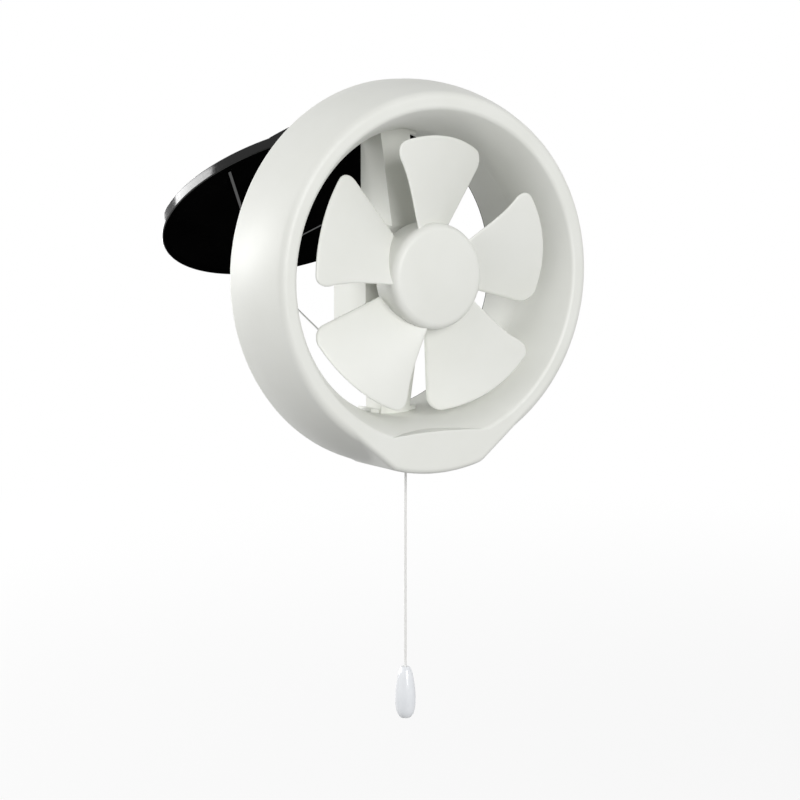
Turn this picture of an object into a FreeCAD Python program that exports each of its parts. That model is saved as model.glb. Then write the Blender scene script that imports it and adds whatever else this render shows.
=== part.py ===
"""Round window exhaust fan with a hinged rear shutter and a pull-cord switch, in millimetres.

The origin is on the fan's axis, in the plane of the window pane that the gasket bears on.
+X is to the right as seen from the room, +Y points outdoors and +Z points up.
A station is a distance behind the plane of the front rim, so y = station - pane.
"""
import FreeCAD, Part
import math
import os
import re
import Sketcher
from FreeCAD import Placement, Rotation, Vector

X_AXIS = Vector(1, 0, 0)
Y_AXIS = Vector(0, 1, 0)
Z_AXIS = Vector(0, 0, 1)
CENTRE = Vector(0, 0, 0)

# Nearness by which edges are recognised
SNAP = 1e-4

# Driving dimensions: lengths in millimetres, angles in degrees
SIZES = {
    # front housing: drum, flat rim, bell mouth and chin
    "drum_space": 35.6,
    "drum_depth": 55.0,
    "side_taper": 10.7,
    "side_straight": 9.0,
    "rim_edge_round": 2.0,
    "mouth_flare": 14.4,
    "mouth_setback": 9.0,
    "mouth_lip_round": 4.0,
    "throat_length": 2.5,
    "housing_wall": 2.5,
    "chin_drop": 1.2,
    "chin_half_angle": 15.5,
    "chin_corner_round": 4.0,
    "pad_reach": 8.6,
    "pad_edge_radius": 450.0,
    "pad_depth": 18.0,
    "pad_edge_round": 0.8,
    # rear spigot, its flange, the window gasket and the shutter seal
    "duct_radius": 104.5,
    "spigot_wall": 2.5,
    "spigot_reach": 30.2,
    "flange_thick": 2.0,
    "gasket_inset": 0.2,
    "gasket_width": 12.0,
    "gasket_thick": 3.0,
    "seal_width": 1.5,
    "seal_thick": 0.8,
    "mount_hole_radius": 2.25,
    # clearances
    "fit_gap": 0.3,
    "seat_gap": 0.1,
    "press_gap": 0.02,
    "running_gap": 0.05,
    # fasteners
    "screw_radius": 1.75,
    "screw_hole_gap": 0.35,
    "screw_head_radius": 3.4,
    "screw_head_thick": 2.0,
    "boss_offset": 5.0,
    "housing_screw_length": 13.5,
    "boss_wall": 2.2,
    "boss_length": 27.0,
    "column_screw_length": 15.0,
    "column_screw_offset": 4.0,
    "column_screw_pitch": 10.0,
    # motor column across the duct
    "column_half_width": 12.5,
    "column_setback": 1.7,
    "arm_step": 1.0,
    "arm_slope": 16.0,
    "column_wall": 2.5,
    "foot_thick": 3.0,
    "foot_half_angle": 11.0,
    "foot_margin": 2.0,
    "foot_solid_depth": 22.0,
    "notch_depth": 6.5,
    # motor
    "motor_half_width": 36.0,
    "motor_half_height": 35.0,
    "motor_depth": 43.5,
    "motor_wall": 2.5,
    "nose_radius": 14.0,
    "nose_length": 7.0,
    "nose_lip": 1.5,
    "motor_post_radius": 4.5,
    "motor_post_inset": 4.5,
    "motor_screw_length": 14.0,
    "motor_head_depth": 1.6,
    "shaft_radius": 3.0,
    "shaft_front": 8.0,
    "bearing_radius": 6.0,
    "bearing_length": 8.0,
    "cover_boss_radius": 9.0,
    "cover_boss_length": 7.5,
    "stack_length": 20.0,
    "stack_offset": 9.5,
    "rotor_radius": 17.0,
    "air_gap": 0.5,
    "winding_gap": 3.5,
    "winding_length": 6.5,
    "winding_margin": 1.0,
    "washer_radius": 5.5,
    "washer_thick": 0.8,
    # impeller
    "blade_count": 5,
    "tip_gap": 4.5,
    "first_blade_angle": 86.0,
    "lead_angle": 28.0,
    "lead_waist_angle": 23.4,
    "lead_tip_angle": 25.6,
    "trail_angle": 29.0,
    "blade_front": 4.5,
    "blade_depth_tip": 20.0,
    "blade_depth_root": 18.9,
    "blade_camber_root": 1.15,
    "blade_camber_tip": 2.2,
    "blade_thick": 2.0,
    "tip_corner_round": 12.0,
    "hub_radius": 38.1,
    "hub_depth": 26.0,
    "hub_dome": 1.4,
    "hub_round": 6.0,
    "hub_wall": 2.5,
    "insert_radius": 5.0,
    "insert_length": 15.0,
    "hub_boss_wall": 3.0,
    # shutter and its hinge
    "shutter_overhang": 9.3,
    "shutter_rim_depth": 7.6,
    "shutter_rim_wall": 3.0,
    "shutter_lip": 2.0,
    "shutter_plate": 2.2,
    "shutter_edge_round": 0.7,
    "shutter_lap": 0.8,
    "shutter_open_angle": 58.1,
    "collar_half_angle": 39.0,
    "collar_rise": 4.2,
    "collar_ramp": 20.0,
    "collar_width": 9.8,
    "rib_top_x": 92.0,
    "rib_top_z": 55.0,
    "rib_low_z": 88.0,
    "rib_width": 2.0,
    "rib_rise": 1.0,
    "hinge_behind_lip": 11.0,
    "hinge_pin_radius": 2.0,
    "knuckle_wall": 2.45,
    "knuckle_inner": 12.0,
    "knuckle_length": 21.0,
    "ear_thick": 4.0,
    "ear_offset": 6.0,
    "saddle_setback": 4.2,
    "saddle_length": 22.0,
    "saddle_thick": 2.5,
    "saddle_half_angle": 27.0,
    "pin_head_radius": 3.3,
    "pin_head_thick": 1.5,
    "spring_wire": 0.9,
    "hinge_spring_length": 16.0,
    # stay cord between the column's foot and the shutter
    "stay_radius": 0.7,
    "lug_inset": 8.5,
    "lug_rise": 4.0,
    "lug_half_width": 2.5,
    "lug_half_height": 3.0,
    "eyelet_inset": 16.5,
    "eyelet_ring": 2.3,
    "eyelet_wire": 0.7,
    "eyelet_shank": 5.0,
    # pull switch, cord and handle
    "cord_inset": 7.5,
    "cord_radius": 1.0,
    "cord_visible": 152.9,
    "handle_length": 38.6,
    "handle_radius": 7.6,
    "handle_neck_radius": 3.1,
    "ferrule_radius": 2.0,
    "ferrule_length": 3.0,
    "guide_radius": 3.2,
    "guide_flange_radius": 4.6,
    "guide_flange_thick": 1.2,
    "guide_bore_gap": 0.5,
    "switch_wall": 1.5,
    "switch_right": 10.0,
    "switch_depth": 12.0,
    "switch_gap": 3.5,
    "switch_floor_gap": 5.5,
    "switch_cover_thick": 1.5,
    "lever_arm": 16.0,
    "lever_reach": 3.0,
    "lever_drop": 7.5,
    "lever_thick": 2.0,
    "lever_width": 4.6,
    "lever_pin_radius": 1.5,
    "lever_eye_radius": 2.9,
    "lever_side_gap": 0.6,
    "lever_slot_back": 1.6,
    "return_spring_radius": 2.5,
    "return_spring_wire": 0.6,
    "return_spring_place": 8.0,
    "contact_thick": 1.0,
    "contact_length": 7.0,
    "contact_width": 3.0,
    # electrical pieces inside the drum
    "block_angle": 55.0,
    "block_width": 22.0,
    "block_height": 14.0,
    "terminal_depth": 13.0,
    "capacitor_depth": 17.0,
    "grommet_angle": -40.0,
    "grommet_inset": 10.0,
    "grommet_radius": 5.5,
    "grommet_bore": 3.5,
    "grommet_lip": 1.8,
    "grommet_lip_thick": 1.5,
}

# Values that follow from the driving dimensions
LEVELS = {
    "pane": "drum_depth + gasket_thick",
    "side_curve_depth": "drum_depth - side_straight",
    "mouth_depth": "drum_depth - mouth_setback",
    "grommet_station": "drum_depth - grommet_inset",
    "drum_radius": "duct_radius + drum_space",
    "front_radius": "drum_radius - side_taper",
    "mouth_radius": "duct_radius + mouth_flare",
    "chin_radius": "drum_radius + chin_drop",
    "pad_height": "mouth_radius - pad_reach",
    "drum_inner": "drum_radius - housing_wall",
    "throat_end": "mouth_depth + throat_length",
    "barrel_front": "throat_end + seat_gap",
    "spigot_outer": "duct_radius + spigot_wall",
    "spigot_end": "pane + spigot_reach",
    "flange_front": "drum_depth - flange_thick",
    "boss_front": "flange_front - boss_length",
    "cord_station": "flange_front - cord_inset",
    "flange_radius": "drum_inner - fit_gap",
    "gasket_outer": "flange_radius - gasket_inset",
    "gasket_inner": "gasket_outer - gasket_width",
    "mount_circle_radius": "gasket_outer - 0.5 * gasket_width",
    "housing_screw_circle": "spigot_outer + boss_offset",
    "tip_radius": "duct_radius - tip_gap",
    "shutter_radius": "duct_radius + shutter_overhang",
    "lug_height": "duct_radius - lug_inset",
    "eyelet_height": "duct_radius - eyelet_inset",
    "switch_top": "spigot_outer + switch_gap",
    "switch_left": "lever_arm + lever_eye_radius + lever_side_gap + switch_wall",
    "switch_height": "drum_inner - switch_floor_gap - switch_top",
    "block_circle": "0.5 * (spigot_outer + drum_inner)",
    "seal_outer": "duct_radius + seal_width",
    "seal_rear": "spigot_end + seal_thick",
    "lip_front": "spigot_end - shutter_lap",
    "column_rear": "spigot_end - column_setback",
    "motor_front": "column_rear - motor_depth",
    "column_front_at_motor": "motor_front + arm_step",
    "column_front_at_wall": "column_front_at_motor + arm_slope",
    "stack_front": "motor_front + stack_offset",
    "saddle_front": "spigot_end - saddle_setback - saddle_length",
    "ear_front": "saddle_front + ear_offset",
    "column_screw_front": "saddle_front + column_screw_offset",
    "hinge_station": "lip_front + hinge_behind_lip",
    "hinge_height": "shutter_radius",
    "nose_front": "motor_front - nose_length",
    "cover_front": "column_rear - motor_wall",
    "lever_height": "switch_top + lever_drop",
    "washer_inner": "shaft_radius + running_gap",
    "bearing_bore": "shaft_radius + running_gap",
    "front_bearing_front": "nose_front + nose_lip",
    "front_bearing_rear": "front_bearing_front + bearing_length",
    "rear_bearing_rear": "cover_front - fit_gap",
    "rear_bearing_front": "rear_bearing_rear - bearing_length",
    "front_washer_front": "front_bearing_rear + seat_gap",
    "front_washer_rear": "front_washer_front + washer_thick",
    "rear_washer_rear": "rear_bearing_front - seat_gap",
    "rear_washer_front": "rear_washer_rear - washer_thick",
    "bearing_outer": "bearing_radius - press_gap",
    "stack_rear": "stack_front + stack_length",
    "stator_bore": "rotor_radius + air_gap",
    "winding_inner": "stator_bore + winding_margin",
    "winding_outer": "min(motor_half_width; motor_half_height) - motor_wall - winding_gap",
    "front_winding_front": "stack_front - winding_length",
    "rear_winding_rear": "stack_rear + winding_length",
    "insert_front": "shaft_front - hub_wall",
    "insert_rear": "insert_front + insert_length",
    "insert_outer": "insert_radius - press_gap",
    "insert_bore": "shaft_radius + press_gap",
}

doc = FreeCAD.newDocument("exhaust_fan")


def bound(text, inside_levels=False):
    """Expression text in which each named value is prefixed by the sheet that holds it."""

    def prefixed(match):
        word = match.group()
        if word in SIZES:
            return "Sizes." + word
        if word in LEVELS and not inside_levels:
            return "Levels." + word
        return word

    return re.sub(r"[a-z][a-z_]*", prefixed, text)


def fill_sheet(name, cells):
    """A sheet with one named cell per row."""
    sheet = doc.addObject("Spreadsheet::Sheet", name)
    for row, (alias, content) in enumerate(cells, start=1):
        sheet.set("A%d" % row, alias)
        sheet.set("B%d" % row, content)
        sheet.setAlias("B%d" % row, alias)
    doc.recompute()
    return sheet


sizes = fill_sheet("Sizes", [(alias, str(number)) for alias, number in SIZES.items()])
levels = fill_sheet("Levels", [(alias, "=" + bound(text, True)) for alias, text in LEVELS.items()])


class Values:
    """The sheets' numbers as attributes."""


v = Values()
for alias in SIZES:
    setattr(v, alias, sizes.get(alias))
for alias in LEVELS:
    setattr(v, alias, levels.get(alias))

nodes = []


def node(obj):
    """Mark a document object as one piece of the fan."""
    nodes.append(obj)
    return obj


def turned(label, outline):
    """A body turned about the fan's axis from a closed outline of (radius, station) names."""
    body = doc.addObject("PartDesign::Body", label)
    sketch = body.newObject("Sketcher::SketchObject", label + "_outline")
    plane = [feature for feature in body.Origin.OriginFeatures if feature.Role == "XY_Plane"][0]
    sketch.AttachmentSupport = [(plane, "")]
    sketch.MapMode = "FlatFace"
    corners = [Vector(getattr(v, radius), getattr(v, station), 0) for radius, station in outline]
    count = len(corners)
    for index in range(count):
        sketch.addGeometry(Part.LineSegment(corners[index], corners[(index + 1) % count]), False)
    for index in range(count):
        sketch.addConstraint(Sketcher.Constraint("Coincident", index, 2, (index + 1) % count, 1))
    for index, pair in enumerate(outline):
        for kind, name in zip(("DistanceX", "DistanceY"), pair):
            rule = Sketcher.Constraint(kind, -1, 1, index, 1, getattr(v, name))
            place = sketch.addConstraint(rule)
            sketch.setExpression("Constraints[%d]" % place, bound(name))
    turn = body.newObject("PartDesign::Revolution", label + "_turn")
    turn.Profile = sketch
    turn.ReferenceAxis = (sketch, ["V_Axis"])
    turn.Angle = 360
    body.setExpression("Placement.Base.y", bound("-pane"))
    return body


def ring(label, inner, outer, front, rear):
    """A plain ring about the fan's axis."""
    return turned(label, [(inner, front), (outer, front), (outer, rear), (inner, rear)])


def put(obj, x, station, z):
    """Bind an object's place to expressions for x, station and z."""
    obj.setExpression("Placement.Base.x", bound(x))
    obj.setExpression("Placement.Base.y", bound("%s - pane" % station))
    obj.setExpression("Placement.Base.z", bound(z))
    return obj


def block(label, x, station, z, width, depth, height):
    """A box whose left, front, lower corner is at the given place."""
    obj = doc.addObject("Part::Box", label)
    obj.setExpression("Length", bound(width))
    obj.setExpression("Width", bound(depth))
    obj.setExpression("Height", bound(height))
    return put(obj, x, station, z)


def rod(label, axis, x, station, z, radius, length):
    """A cylinder that starts at the given place and runs along the axis."""
    obj = doc.addObject("Part::Cylinder", label)
    obj.setExpression("Radius", bound(radius))
    obj.setExpression("Height", bound(length))
    obj.Placement = Placement(CENTRE, Rotation(Z_AXIS, axis))
    return put(obj, x, station, z)


def fused(label, objects):
    obj = doc.addObject("Part::MultiFuse", label)
    obj.Shapes = objects
    return obj


def gathered(label, objects):
    """Separate solids in one object."""
    obj = doc.addObject("Part::Compound", label)
    obj.Links = objects
    return obj


def cut(label, base, tool):
    obj = doc.addObject("Part::Cut", label)
    obj.Base = base
    obj.Tool = tool
    return obj


def feature(label, shape):
    """A free-form piece drawn in stations, moved to the fan's frame."""
    obj = doc.addObject("Part::Feature", label)
    moved = shape.copy()
    moved.translate(Vector(0, -v.pane, 0))
    obj.Shape = moved
    return obj


def polar(radius, degrees, station=0.0):
    """A point at a radius and an angle about the fan's axis, counted from +X towards +Z."""
    turn = math.radians(degrees)
    return Vector(radius * math.cos(turn), station, radius * math.sin(turn))


def line(start, end):
    return Part.LineSegment(start, end).toShape()


def arc(start, middle, end):
    return Part.Arc(start, middle, end).toShape()


def face_of(edges):
    return Part.Face(Part.Wire(edges))


def polygon(points):
    return Part.Face(Part.makePolygon(points + points[:1]))


def side_prism(outline, left, right):
    """A prism along X from an outline of (station, z) points."""
    return polygon([Vector(left, station, z) for station, z in outline]).extrude(X_AXIS * (right - left))


def sector(inner, outer, start, end, front, rear):
    """Part of a ring about the fan's axis, between two angles and two stations."""
    middle = (start + end) / 2.0
    edges = [
        arc(polar(outer, start, front), polar(outer, middle, front), polar(outer, end, front)),
        line(polar(outer, end, front), polar(inner, end, front)),
        arc(polar(inner, end, front), polar(inner, middle, front), polar(inner, start, front)),
        line(polar(inner, start, front), polar(outer, start, front)),
    ]
    return face_of(edges).extrude(Y_AXIS * (rear - front))


def along_axis(radius, front, rear, x=0.0, z=0.0):
    """A cylinder parallel to the fan's axis."""
    return Part.makeCylinder(radius, rear - front, Vector(x, front, z), Y_AXIS)


def revolved(edges):
    """A solid turned about the fan's axis from a closed outline in x = radius, y = station."""
    return face_of(edges).revolve(CENTRE, Y_AXIS, 360)


# Angles at which the four housing screws and the four mounting holes stand
QUARTER_ANGLES = (45.0, 135.0, 225.0, 315.0)


def circles(shape, radius, station):
    """Circular edges of a radius about the fan's axis at a station."""
    found = []
    for edge in shape.Edges:
        if edge.Curve.TypeId == "Part::GeomCircle":
            same_size = abs(edge.Curve.Radius - radius) < SNAP
            if same_size and abs(edge.Curve.Center.y - station) < SNAP:
                found.append(edge)
    return found


def curve_radius(depth, rise):
    """Radius of an arc that starts along the axis and rises by a height over a depth."""
    return (depth**2 + rise**2) / (2.0 * rise)


def bulge_point(centre, radius, start, end):
    """Point of an arc half way between two of its points, for an arc under a half circle."""
    middle = (start + end) / 2.0 - centre
    return centre + middle.normalize() * radius


def housing_shell():
    """Turned wall: flat rim, curved side to the drum, rounded lip, and the bell mouth into the throat.

    Returns the wall and the hollow behind it.
    """
    side_radius = curve_radius(v.side_curve_depth, v.drum_radius - v.front_radius)
    side_centre = Vector(v.drum_radius - side_radius, v.side_curve_depth, 0)
    mouth_curve = curve_radius(v.mouth_depth, v.mouth_radius - v.duct_radius)
    mouth_centre = Vector(v.duct_radius + mouth_curve, v.mouth_depth, 0)
    wall = v.housing_wall

    def side_arc(radius, front):
        reach = math.sqrt(radius**2 - (v.side_curve_depth - front) ** 2)
        start = Vector(side_centre.x + reach, front, 0)
        end = Vector(side_centre.x + radius, v.side_curve_depth, 0)
        return start, bulge_point(side_centre, radius, start, end), end

    def mouth_arc(radius, front):
        reach = math.sqrt(radius**2 - (v.mouth_depth - front) ** 2)
        start = Vector(mouth_centre.x - radius, v.mouth_depth, 0)
        end = Vector(mouth_centre.x - reach, front, 0)
        return start, bulge_point(mouth_centre, radius, start, end), end

    outer = side_arc(side_radius, 0.0)
    inner = side_arc(side_radius - wall, wall)
    front_mouth = mouth_arc(mouth_curve, 0.0)
    back_mouth = mouth_arc(mouth_curve - wall, wall)
    drum_back = Vector(v.drum_radius, v.drum_depth, 0)
    drum_back_inner = Vector(v.drum_inner, v.drum_depth, 0)
    throat_outer = Vector(v.duct_radius + wall, v.throat_end, 0)
    throat_inner = Vector(v.duct_radius, v.throat_end, 0)
    shell = revolved([
        line(front_mouth[2], outer[0]),
        arc(*outer),
        line(outer[2], drum_back),
        line(drum_back, drum_back_inner),
        line(drum_back_inner, inner[2]),
        arc(*inner),
        line(inner[0], back_mouth[2]),
        arc(*back_mouth),
        line(back_mouth[0], throat_outer),
        line(throat_outer, throat_inner),
        line(throat_inner, front_mouth[0]),
        arc(*front_mouth),
    ])
    shell = shell.makeFillet(v.rim_edge_round, circles(shell, v.front_radius, 0.0))
    shell = shell.makeFillet(v.mouth_lip_round, circles(shell, v.mouth_radius, 0.0))
    hollow_back_outer = Vector(v.drum_inner, v.drum_depth, 0)
    hollow_back_inner = Vector(v.duct_radius + wall, v.drum_depth, 0)
    hollow = revolved([
        arc(*inner),
        line(inner[2], hollow_back_outer),
        line(hollow_back_outer, hollow_back_inner),
        line(hollow_back_inner, back_mouth[0]),
        arc(*back_mouth),
        line(back_mouth[2], inner[0]),
    ])
    return shell, hollow


def chin_prism(radius, circle, front, rear):
    """Prism of the chin: an arc below, and straight sides that run tangent to the rim's circle."""
    corner = -90.0 + v.chin_half_angle
    tangent = corner + math.degrees(math.acos(circle / radius))
    root = 0.5 * (v.mouth_radius + v.front_radius)
    left_corner = polar(radius, -180.0 - corner, front)
    right_corner = polar(radius, corner, front)
    left_tangent = polar(circle, -180.0 - tangent, front)
    right_tangent = polar(circle, tangent, front)
    left_root = polar(root, -180.0 - tangent, front)
    right_root = polar(root, tangent, front)
    edges = [
        arc(left_corner, polar(radius, -90.0, front), right_corner),
        line(right_corner, right_tangent),
        line(right_tangent, right_root),
        arc(right_root, polar(root, -90.0, front), left_root),
        line(left_root, left_tangent),
        line(left_tangent, left_corner),
    ]
    prism = face_of(edges).extrude(Y_AXIS * (rear - front))
    corners = [
        edge for edge in prism.Edges
        if edge.BoundBox.YLength > 0.5 * (rear - front) and edge.BoundBox.ZMax < left_corner.z + SNAP
    ]
    return prism.makeFillet(v.chin_corner_round, corners)


def rounded_front_below(prism, radius, level):
    """Round the front edges of a prism whose middles lie outside a circle about the axis."""
    edges = []
    for edge in prism.Edges:
        middle = edge.valueAt((edge.FirstParameter + edge.LastParameter) / 2.0)
        outside = math.hypot(middle.x, middle.z) > radius
        if edge.BoundBox.YMax < SNAP and outside:
            edges.append(edge)
    return prism.makeFillet(level, edges)


def chin_pad():
    """Flat pad that bridges the lower edge of the mouth, with a shallow arched top edge."""
    reach = v.mouth_radius + v.mouth_lip_round
    disc = along_axis(reach, 0.0, v.pad_depth)
    below = along_axis(v.pad_edge_radius, 0.0, v.pad_depth, 0.0, -v.pad_height - v.pad_edge_radius)
    pad = disc.common(below)
    top = [
        edge for edge in pad.Edges
        if edge.BoundBox.YMax < SNAP and edge.BoundBox.ZMax > -v.pad_height - SNAP
    ]
    return pad.makeFillet(v.pad_edge_round, top)


def front_housing():
    shell, hollow = housing_shell()
    chin_outer = chin_prism(v.chin_radius, v.front_radius, 0.0, v.drum_depth)
    chin_outer = rounded_front_below(chin_outer, v.front_radius, v.rim_edge_round)
    wall = v.housing_wall
    chin_inner = chin_prism(v.chin_radius - wall, v.front_radius - wall, wall, v.drum_depth)
    shape = shell.cut(chin_inner)
    shape = shape.fuse(chin_outer.cut(chin_inner).cut(hollow))
    shape = shape.fuse(chin_pad().cut(hollow))
    boss_radius = v.screw_radius + v.boss_wall
    for angle in QUARTER_ANGLES:
        place = polar(v.housing_screw_circle, angle)
        shape = shape.fuse(along_axis(boss_radius, v.boss_front, v.flange_front, place.x, place.z))
    for angle in QUARTER_ANGLES:
        place = polar(v.housing_screw_circle, angle)
        bottom = v.drum_depth - v.housing_screw_length - v.fit_gap
        bore = v.screw_radius + v.running_gap
        shape = shape.cut(along_axis(bore, bottom, v.drum_depth, place.x, place.z))
    cord_hole = Part.makeCylinder(
        v.guide_radius + v.seat_gap,
        v.chin_radius - v.switch_top,
        Vector(0, v.cord_station, -v.chin_radius),
        Z_AXIS,
    )
    outward = polar(1.0, v.grommet_angle)
    cable_hole = Part.makeCylinder(
        v.grommet_radius + v.seat_gap,
        4.0 * v.housing_wall,
        polar(v.drum_radius - 2.0 * v.housing_wall, v.grommet_angle, v.grommet_station),
        outward,
    )
    return shape.cut(cord_hole).cut(cable_hole).removeSplitter()


node(feature("front_housing", front_housing()))


def screw_holes(label, circle, radius, front, length):
    """Four holes on a circle about the fan's axis."""
    holes = []
    for number, angle in enumerate(QUARTER_ANGLES):
        x = "%s * cos(%f)" % (circle, angle)
        z = "%s * sin(%f)" % (circle, angle)
        holes.append(rod("%s_%d" % (label, number), Y_AXIS, x, front, z, radius, length))
    return holes


# Rear spigot: the barrel through the window, and the flange that closes the drum
spigot_body = turned("spigot_body", [
    ("duct_radius", "barrel_front"),
    ("spigot_outer", "barrel_front"),
    ("spigot_outer", "flange_front"),
    ("flange_radius", "flange_front"),
    ("flange_radius", "drum_depth"),
    ("spigot_outer", "drum_depth"),
    ("spigot_outer", "spigot_end"),
    ("duct_radius", "spigot_end"),
])
clear_hole = "screw_radius + screw_hole_gap"
spigot_holes = screw_holes(
    "spigot_screw_hole", "housing_screw_circle", clear_hole, "flange_front", "flange_thick")
spigot_holes += screw_holes(
    "flange_mount_hole", "mount_circle_radius", "mount_hole_radius", "flange_front", "flange_thick")
COLUMN_SCREW_STATIONS = ("column_screw_front", "(column_screw_front + column_screw_pitch)")
for number, station in enumerate(COLUMN_SCREW_STATIONS):
    spigot_holes.append(rod(
        "column_hole_%d" % number, Z_AXIS, "0", station, "-2 * spigot_outer", clear_hole, "4 * spigot_outer"))
node(cut("rear_spigot", spigot_body, gathered("spigot_holes", spigot_holes)))

gasket_body = ring("gasket_body", "gasket_inner", "gasket_outer", "drum_depth", "pane")
gasket_holes = screw_holes(
    "gasket_hole", "mount_circle_radius", "mount_hole_radius", "drum_depth", "gasket_thick")
node(cut("window_gasket", gasket_body, gathered("gasket_holes", gasket_holes)))

node(ring("shutter_seal", "duct_radius", "seal_outer", "spigot_end", "seal_rear"))


def screw(label, axis, x, station, z, length, head_thick):
    """A plain screw whose head stands on the given place and whose shank runs against the axis."""
    shank = rod(label + "_shank", axis.negative(), x, station, z, "screw_radius", length)
    head = rod(label + "_head", axis, x, station, z, "screw_head_radius", head_thick)
    return fused(label, [shank, head])


housing_screws = []
for number, angle in enumerate(QUARTER_ANGLES):
    x = "housing_screw_circle * cos(%f)" % angle
    z = "housing_screw_circle * sin(%f)" % angle
    housing_screws.append(screw(
        "housing_screw_%d" % number, Y_AXIS, x, "drum_depth", z, "housing_screw_length", "screw_head_thick"))
node(gathered("housing_screws", housing_screws))


def motor_post_places():
    """Centres of the four screw posts in the motor case's corners."""
    x = v.motor_half_width - v.motor_wall - v.motor_post_inset
    z = v.motor_half_height - v.motor_wall - v.motor_post_inset
    return [(sx * x, sz * z) for sx in (-1, 1) for sz in (-1, 1)]


def column_arm():
    """Upper arm of the column: a channel with a sloping front, open to the rear, and a solid foot."""
    root = v.motor_half_height - 0.5 * v.motor_wall
    reach = v.duct_radius
    slope = (v.column_front_at_wall - v.column_front_at_motor) / (reach - root)
    outline = [
        (v.column_front_at_motor, root),
        (v.column_front_at_wall, reach),
        (v.column_rear, reach),
        (v.column_rear, root),
    ]
    low = v.motor_half_height
    high = reach - v.foot_solid_depth
    hollow = [
        (v.column_front_at_motor + slope * (low - root) + v.column_wall, low),
        (v.column_front_at_motor + slope * (high - root) + v.column_wall, high),
        (v.column_rear, high),
        (v.column_rear, low),
    ]
    half = v.column_half_width
    arm = side_prism(outline, -half, half)
    arm = arm.cut(side_prism(hollow, v.column_wall - half, half - v.column_wall))
    foot = sector(
        v.duct_radius - v.foot_thick,
        v.duct_radius,
        90.0 - v.foot_half_angle,
        90.0 + v.foot_half_angle,
        v.column_front_at_wall + v.foot_margin,
        v.column_rear - v.foot_margin,
    )
    return arm.fuse(foot)


def motor_column():
    """Motor case with its bearing nose, and the arms that hold it across the duct."""
    upper = column_arm()
    lower = upper.mirror(CENTRE, Z_AXIS)
    foot_root = v.duct_radius - v.foot_solid_depth
    notch = [
        (v.column_rear - v.notch_depth, -v.duct_radius),
        (v.column_rear, -v.duct_radius),
        (v.column_rear, -foot_root),
        (v.column_rear - v.notch_depth, -foot_root),
    ]
    lower = lower.cut(side_prism(notch, -v.spigot_outer, v.spigot_outer))
    half_width = v.motor_half_width
    half_height = v.motor_half_height
    case = Part.makeBox(
        2 * half_width,
        v.column_rear - v.motor_front,
        2 * half_height,
        Vector(-half_width, v.motor_front, -half_height),
    )
    nose = along_axis(v.nose_radius, v.nose_front, v.motor_front + v.motor_wall)
    wall = v.motor_wall
    inside = Part.makeBox(
        2 * (half_width - wall),
        v.column_rear - v.motor_front - wall,
        2 * (half_height - wall),
        Vector(wall - half_width, v.motor_front + wall, wall - half_height),
    )
    shape = case.fuse(upper).fuse(lower).fuse(nose).cut(inside)
    for x, z in motor_post_places():
        post = along_axis(v.motor_post_radius, v.motor_front + wall, v.cover_front, x, z)
        bore = along_axis(
            v.screw_radius + v.running_gap, v.cover_front - v.motor_screw_length, v.cover_front, x, z)
        shape = shape.fuse(post.common(inside)).cut(bore)
    shape = shape.cut(along_axis(v.shaft_radius + v.fit_gap, v.nose_front, v.column_rear))
    shape = shape.cut(along_axis(v.bearing_radius, v.front_bearing_front, v.motor_front + wall + v.nose_lip))
    shape = shape.common(along_axis(v.duct_radius - v.seat_gap, v.nose_front, v.column_rear))
    tip_reach = v.column_screw_length + v.fit_gap
    bore = v.screw_radius + v.running_gap
    for station in (v.column_screw_front, v.column_screw_front + v.column_screw_pitch):
        for direction, head in ((1, v.spigot_outer + v.seat_gap + v.saddle_thick), (-1, v.spigot_outer)):
            start = Vector(0, station, direction * (head - tip_reach))
            shape = shape.cut(Part.makeCylinder(bore, tip_reach, start, Z_AXIS * direction))
    shank_hole = along_axis(
        v.eyelet_wire + v.running_gap,
        v.column_rear - v.notch_depth - v.eyelet_shank,
        v.column_rear,
        0.0,
        -v.eyelet_height,
    )
    return shape.cut(shank_hole).removeSplitter()


node(feature("motor_column", motor_column()))

saddle_top = "spigot_outer + seat_gap + saddle_thick"
column_screws = []
for number, station in enumerate(COLUMN_SCREW_STATIONS):
    column_screws.append(screw(
        "upper_column_screw_%d" % number, Z_AXIS, "0", station, saddle_top,
        "column_screw_length", "screw_head_thick"))
    column_screws.append(screw(
        "lower_column_screw_%d" % number, Z_AXIS.negative(), "0", station, "-spigot_outer",
        "column_screw_length", "screw_head_thick"))
node(gathered("column_screws", column_screws))


def motor_rear_cover():
    """Plate that closes the motor case, with the rear bearing's boss inside it."""
    half_width = v.motor_half_width - v.motor_wall - v.seat_gap
    half_height = v.motor_half_height - v.motor_wall - v.seat_gap
    plate = Part.makeBox(
        2 * half_width,
        v.motor_wall,
        2 * half_height,
        Vector(-half_width, v.cover_front, -half_height),
    )
    shape = plate.fuse(along_axis(v.cover_boss_radius, v.cover_front - v.cover_boss_length, v.cover_front))
    seat_front = v.cover_front - v.bearing_length - v.fit_gap
    shape = shape.cut(along_axis(v.bearing_radius, seat_front, v.cover_front))
    for x, z in motor_post_places():
        shape = shape.cut(along_axis(v.screw_radius + v.screw_hole_gap, v.cover_front, v.column_rear, x, z))
        head_hole = v.screw_head_radius + v.screw_hole_gap
        head_front = v.column_rear - v.motor_head_depth
        shape = shape.cut(along_axis(head_hole, head_front, v.column_rear, x, z))
    return shape


node(feature("motor_rear_cover", motor_rear_cover()))

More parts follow.
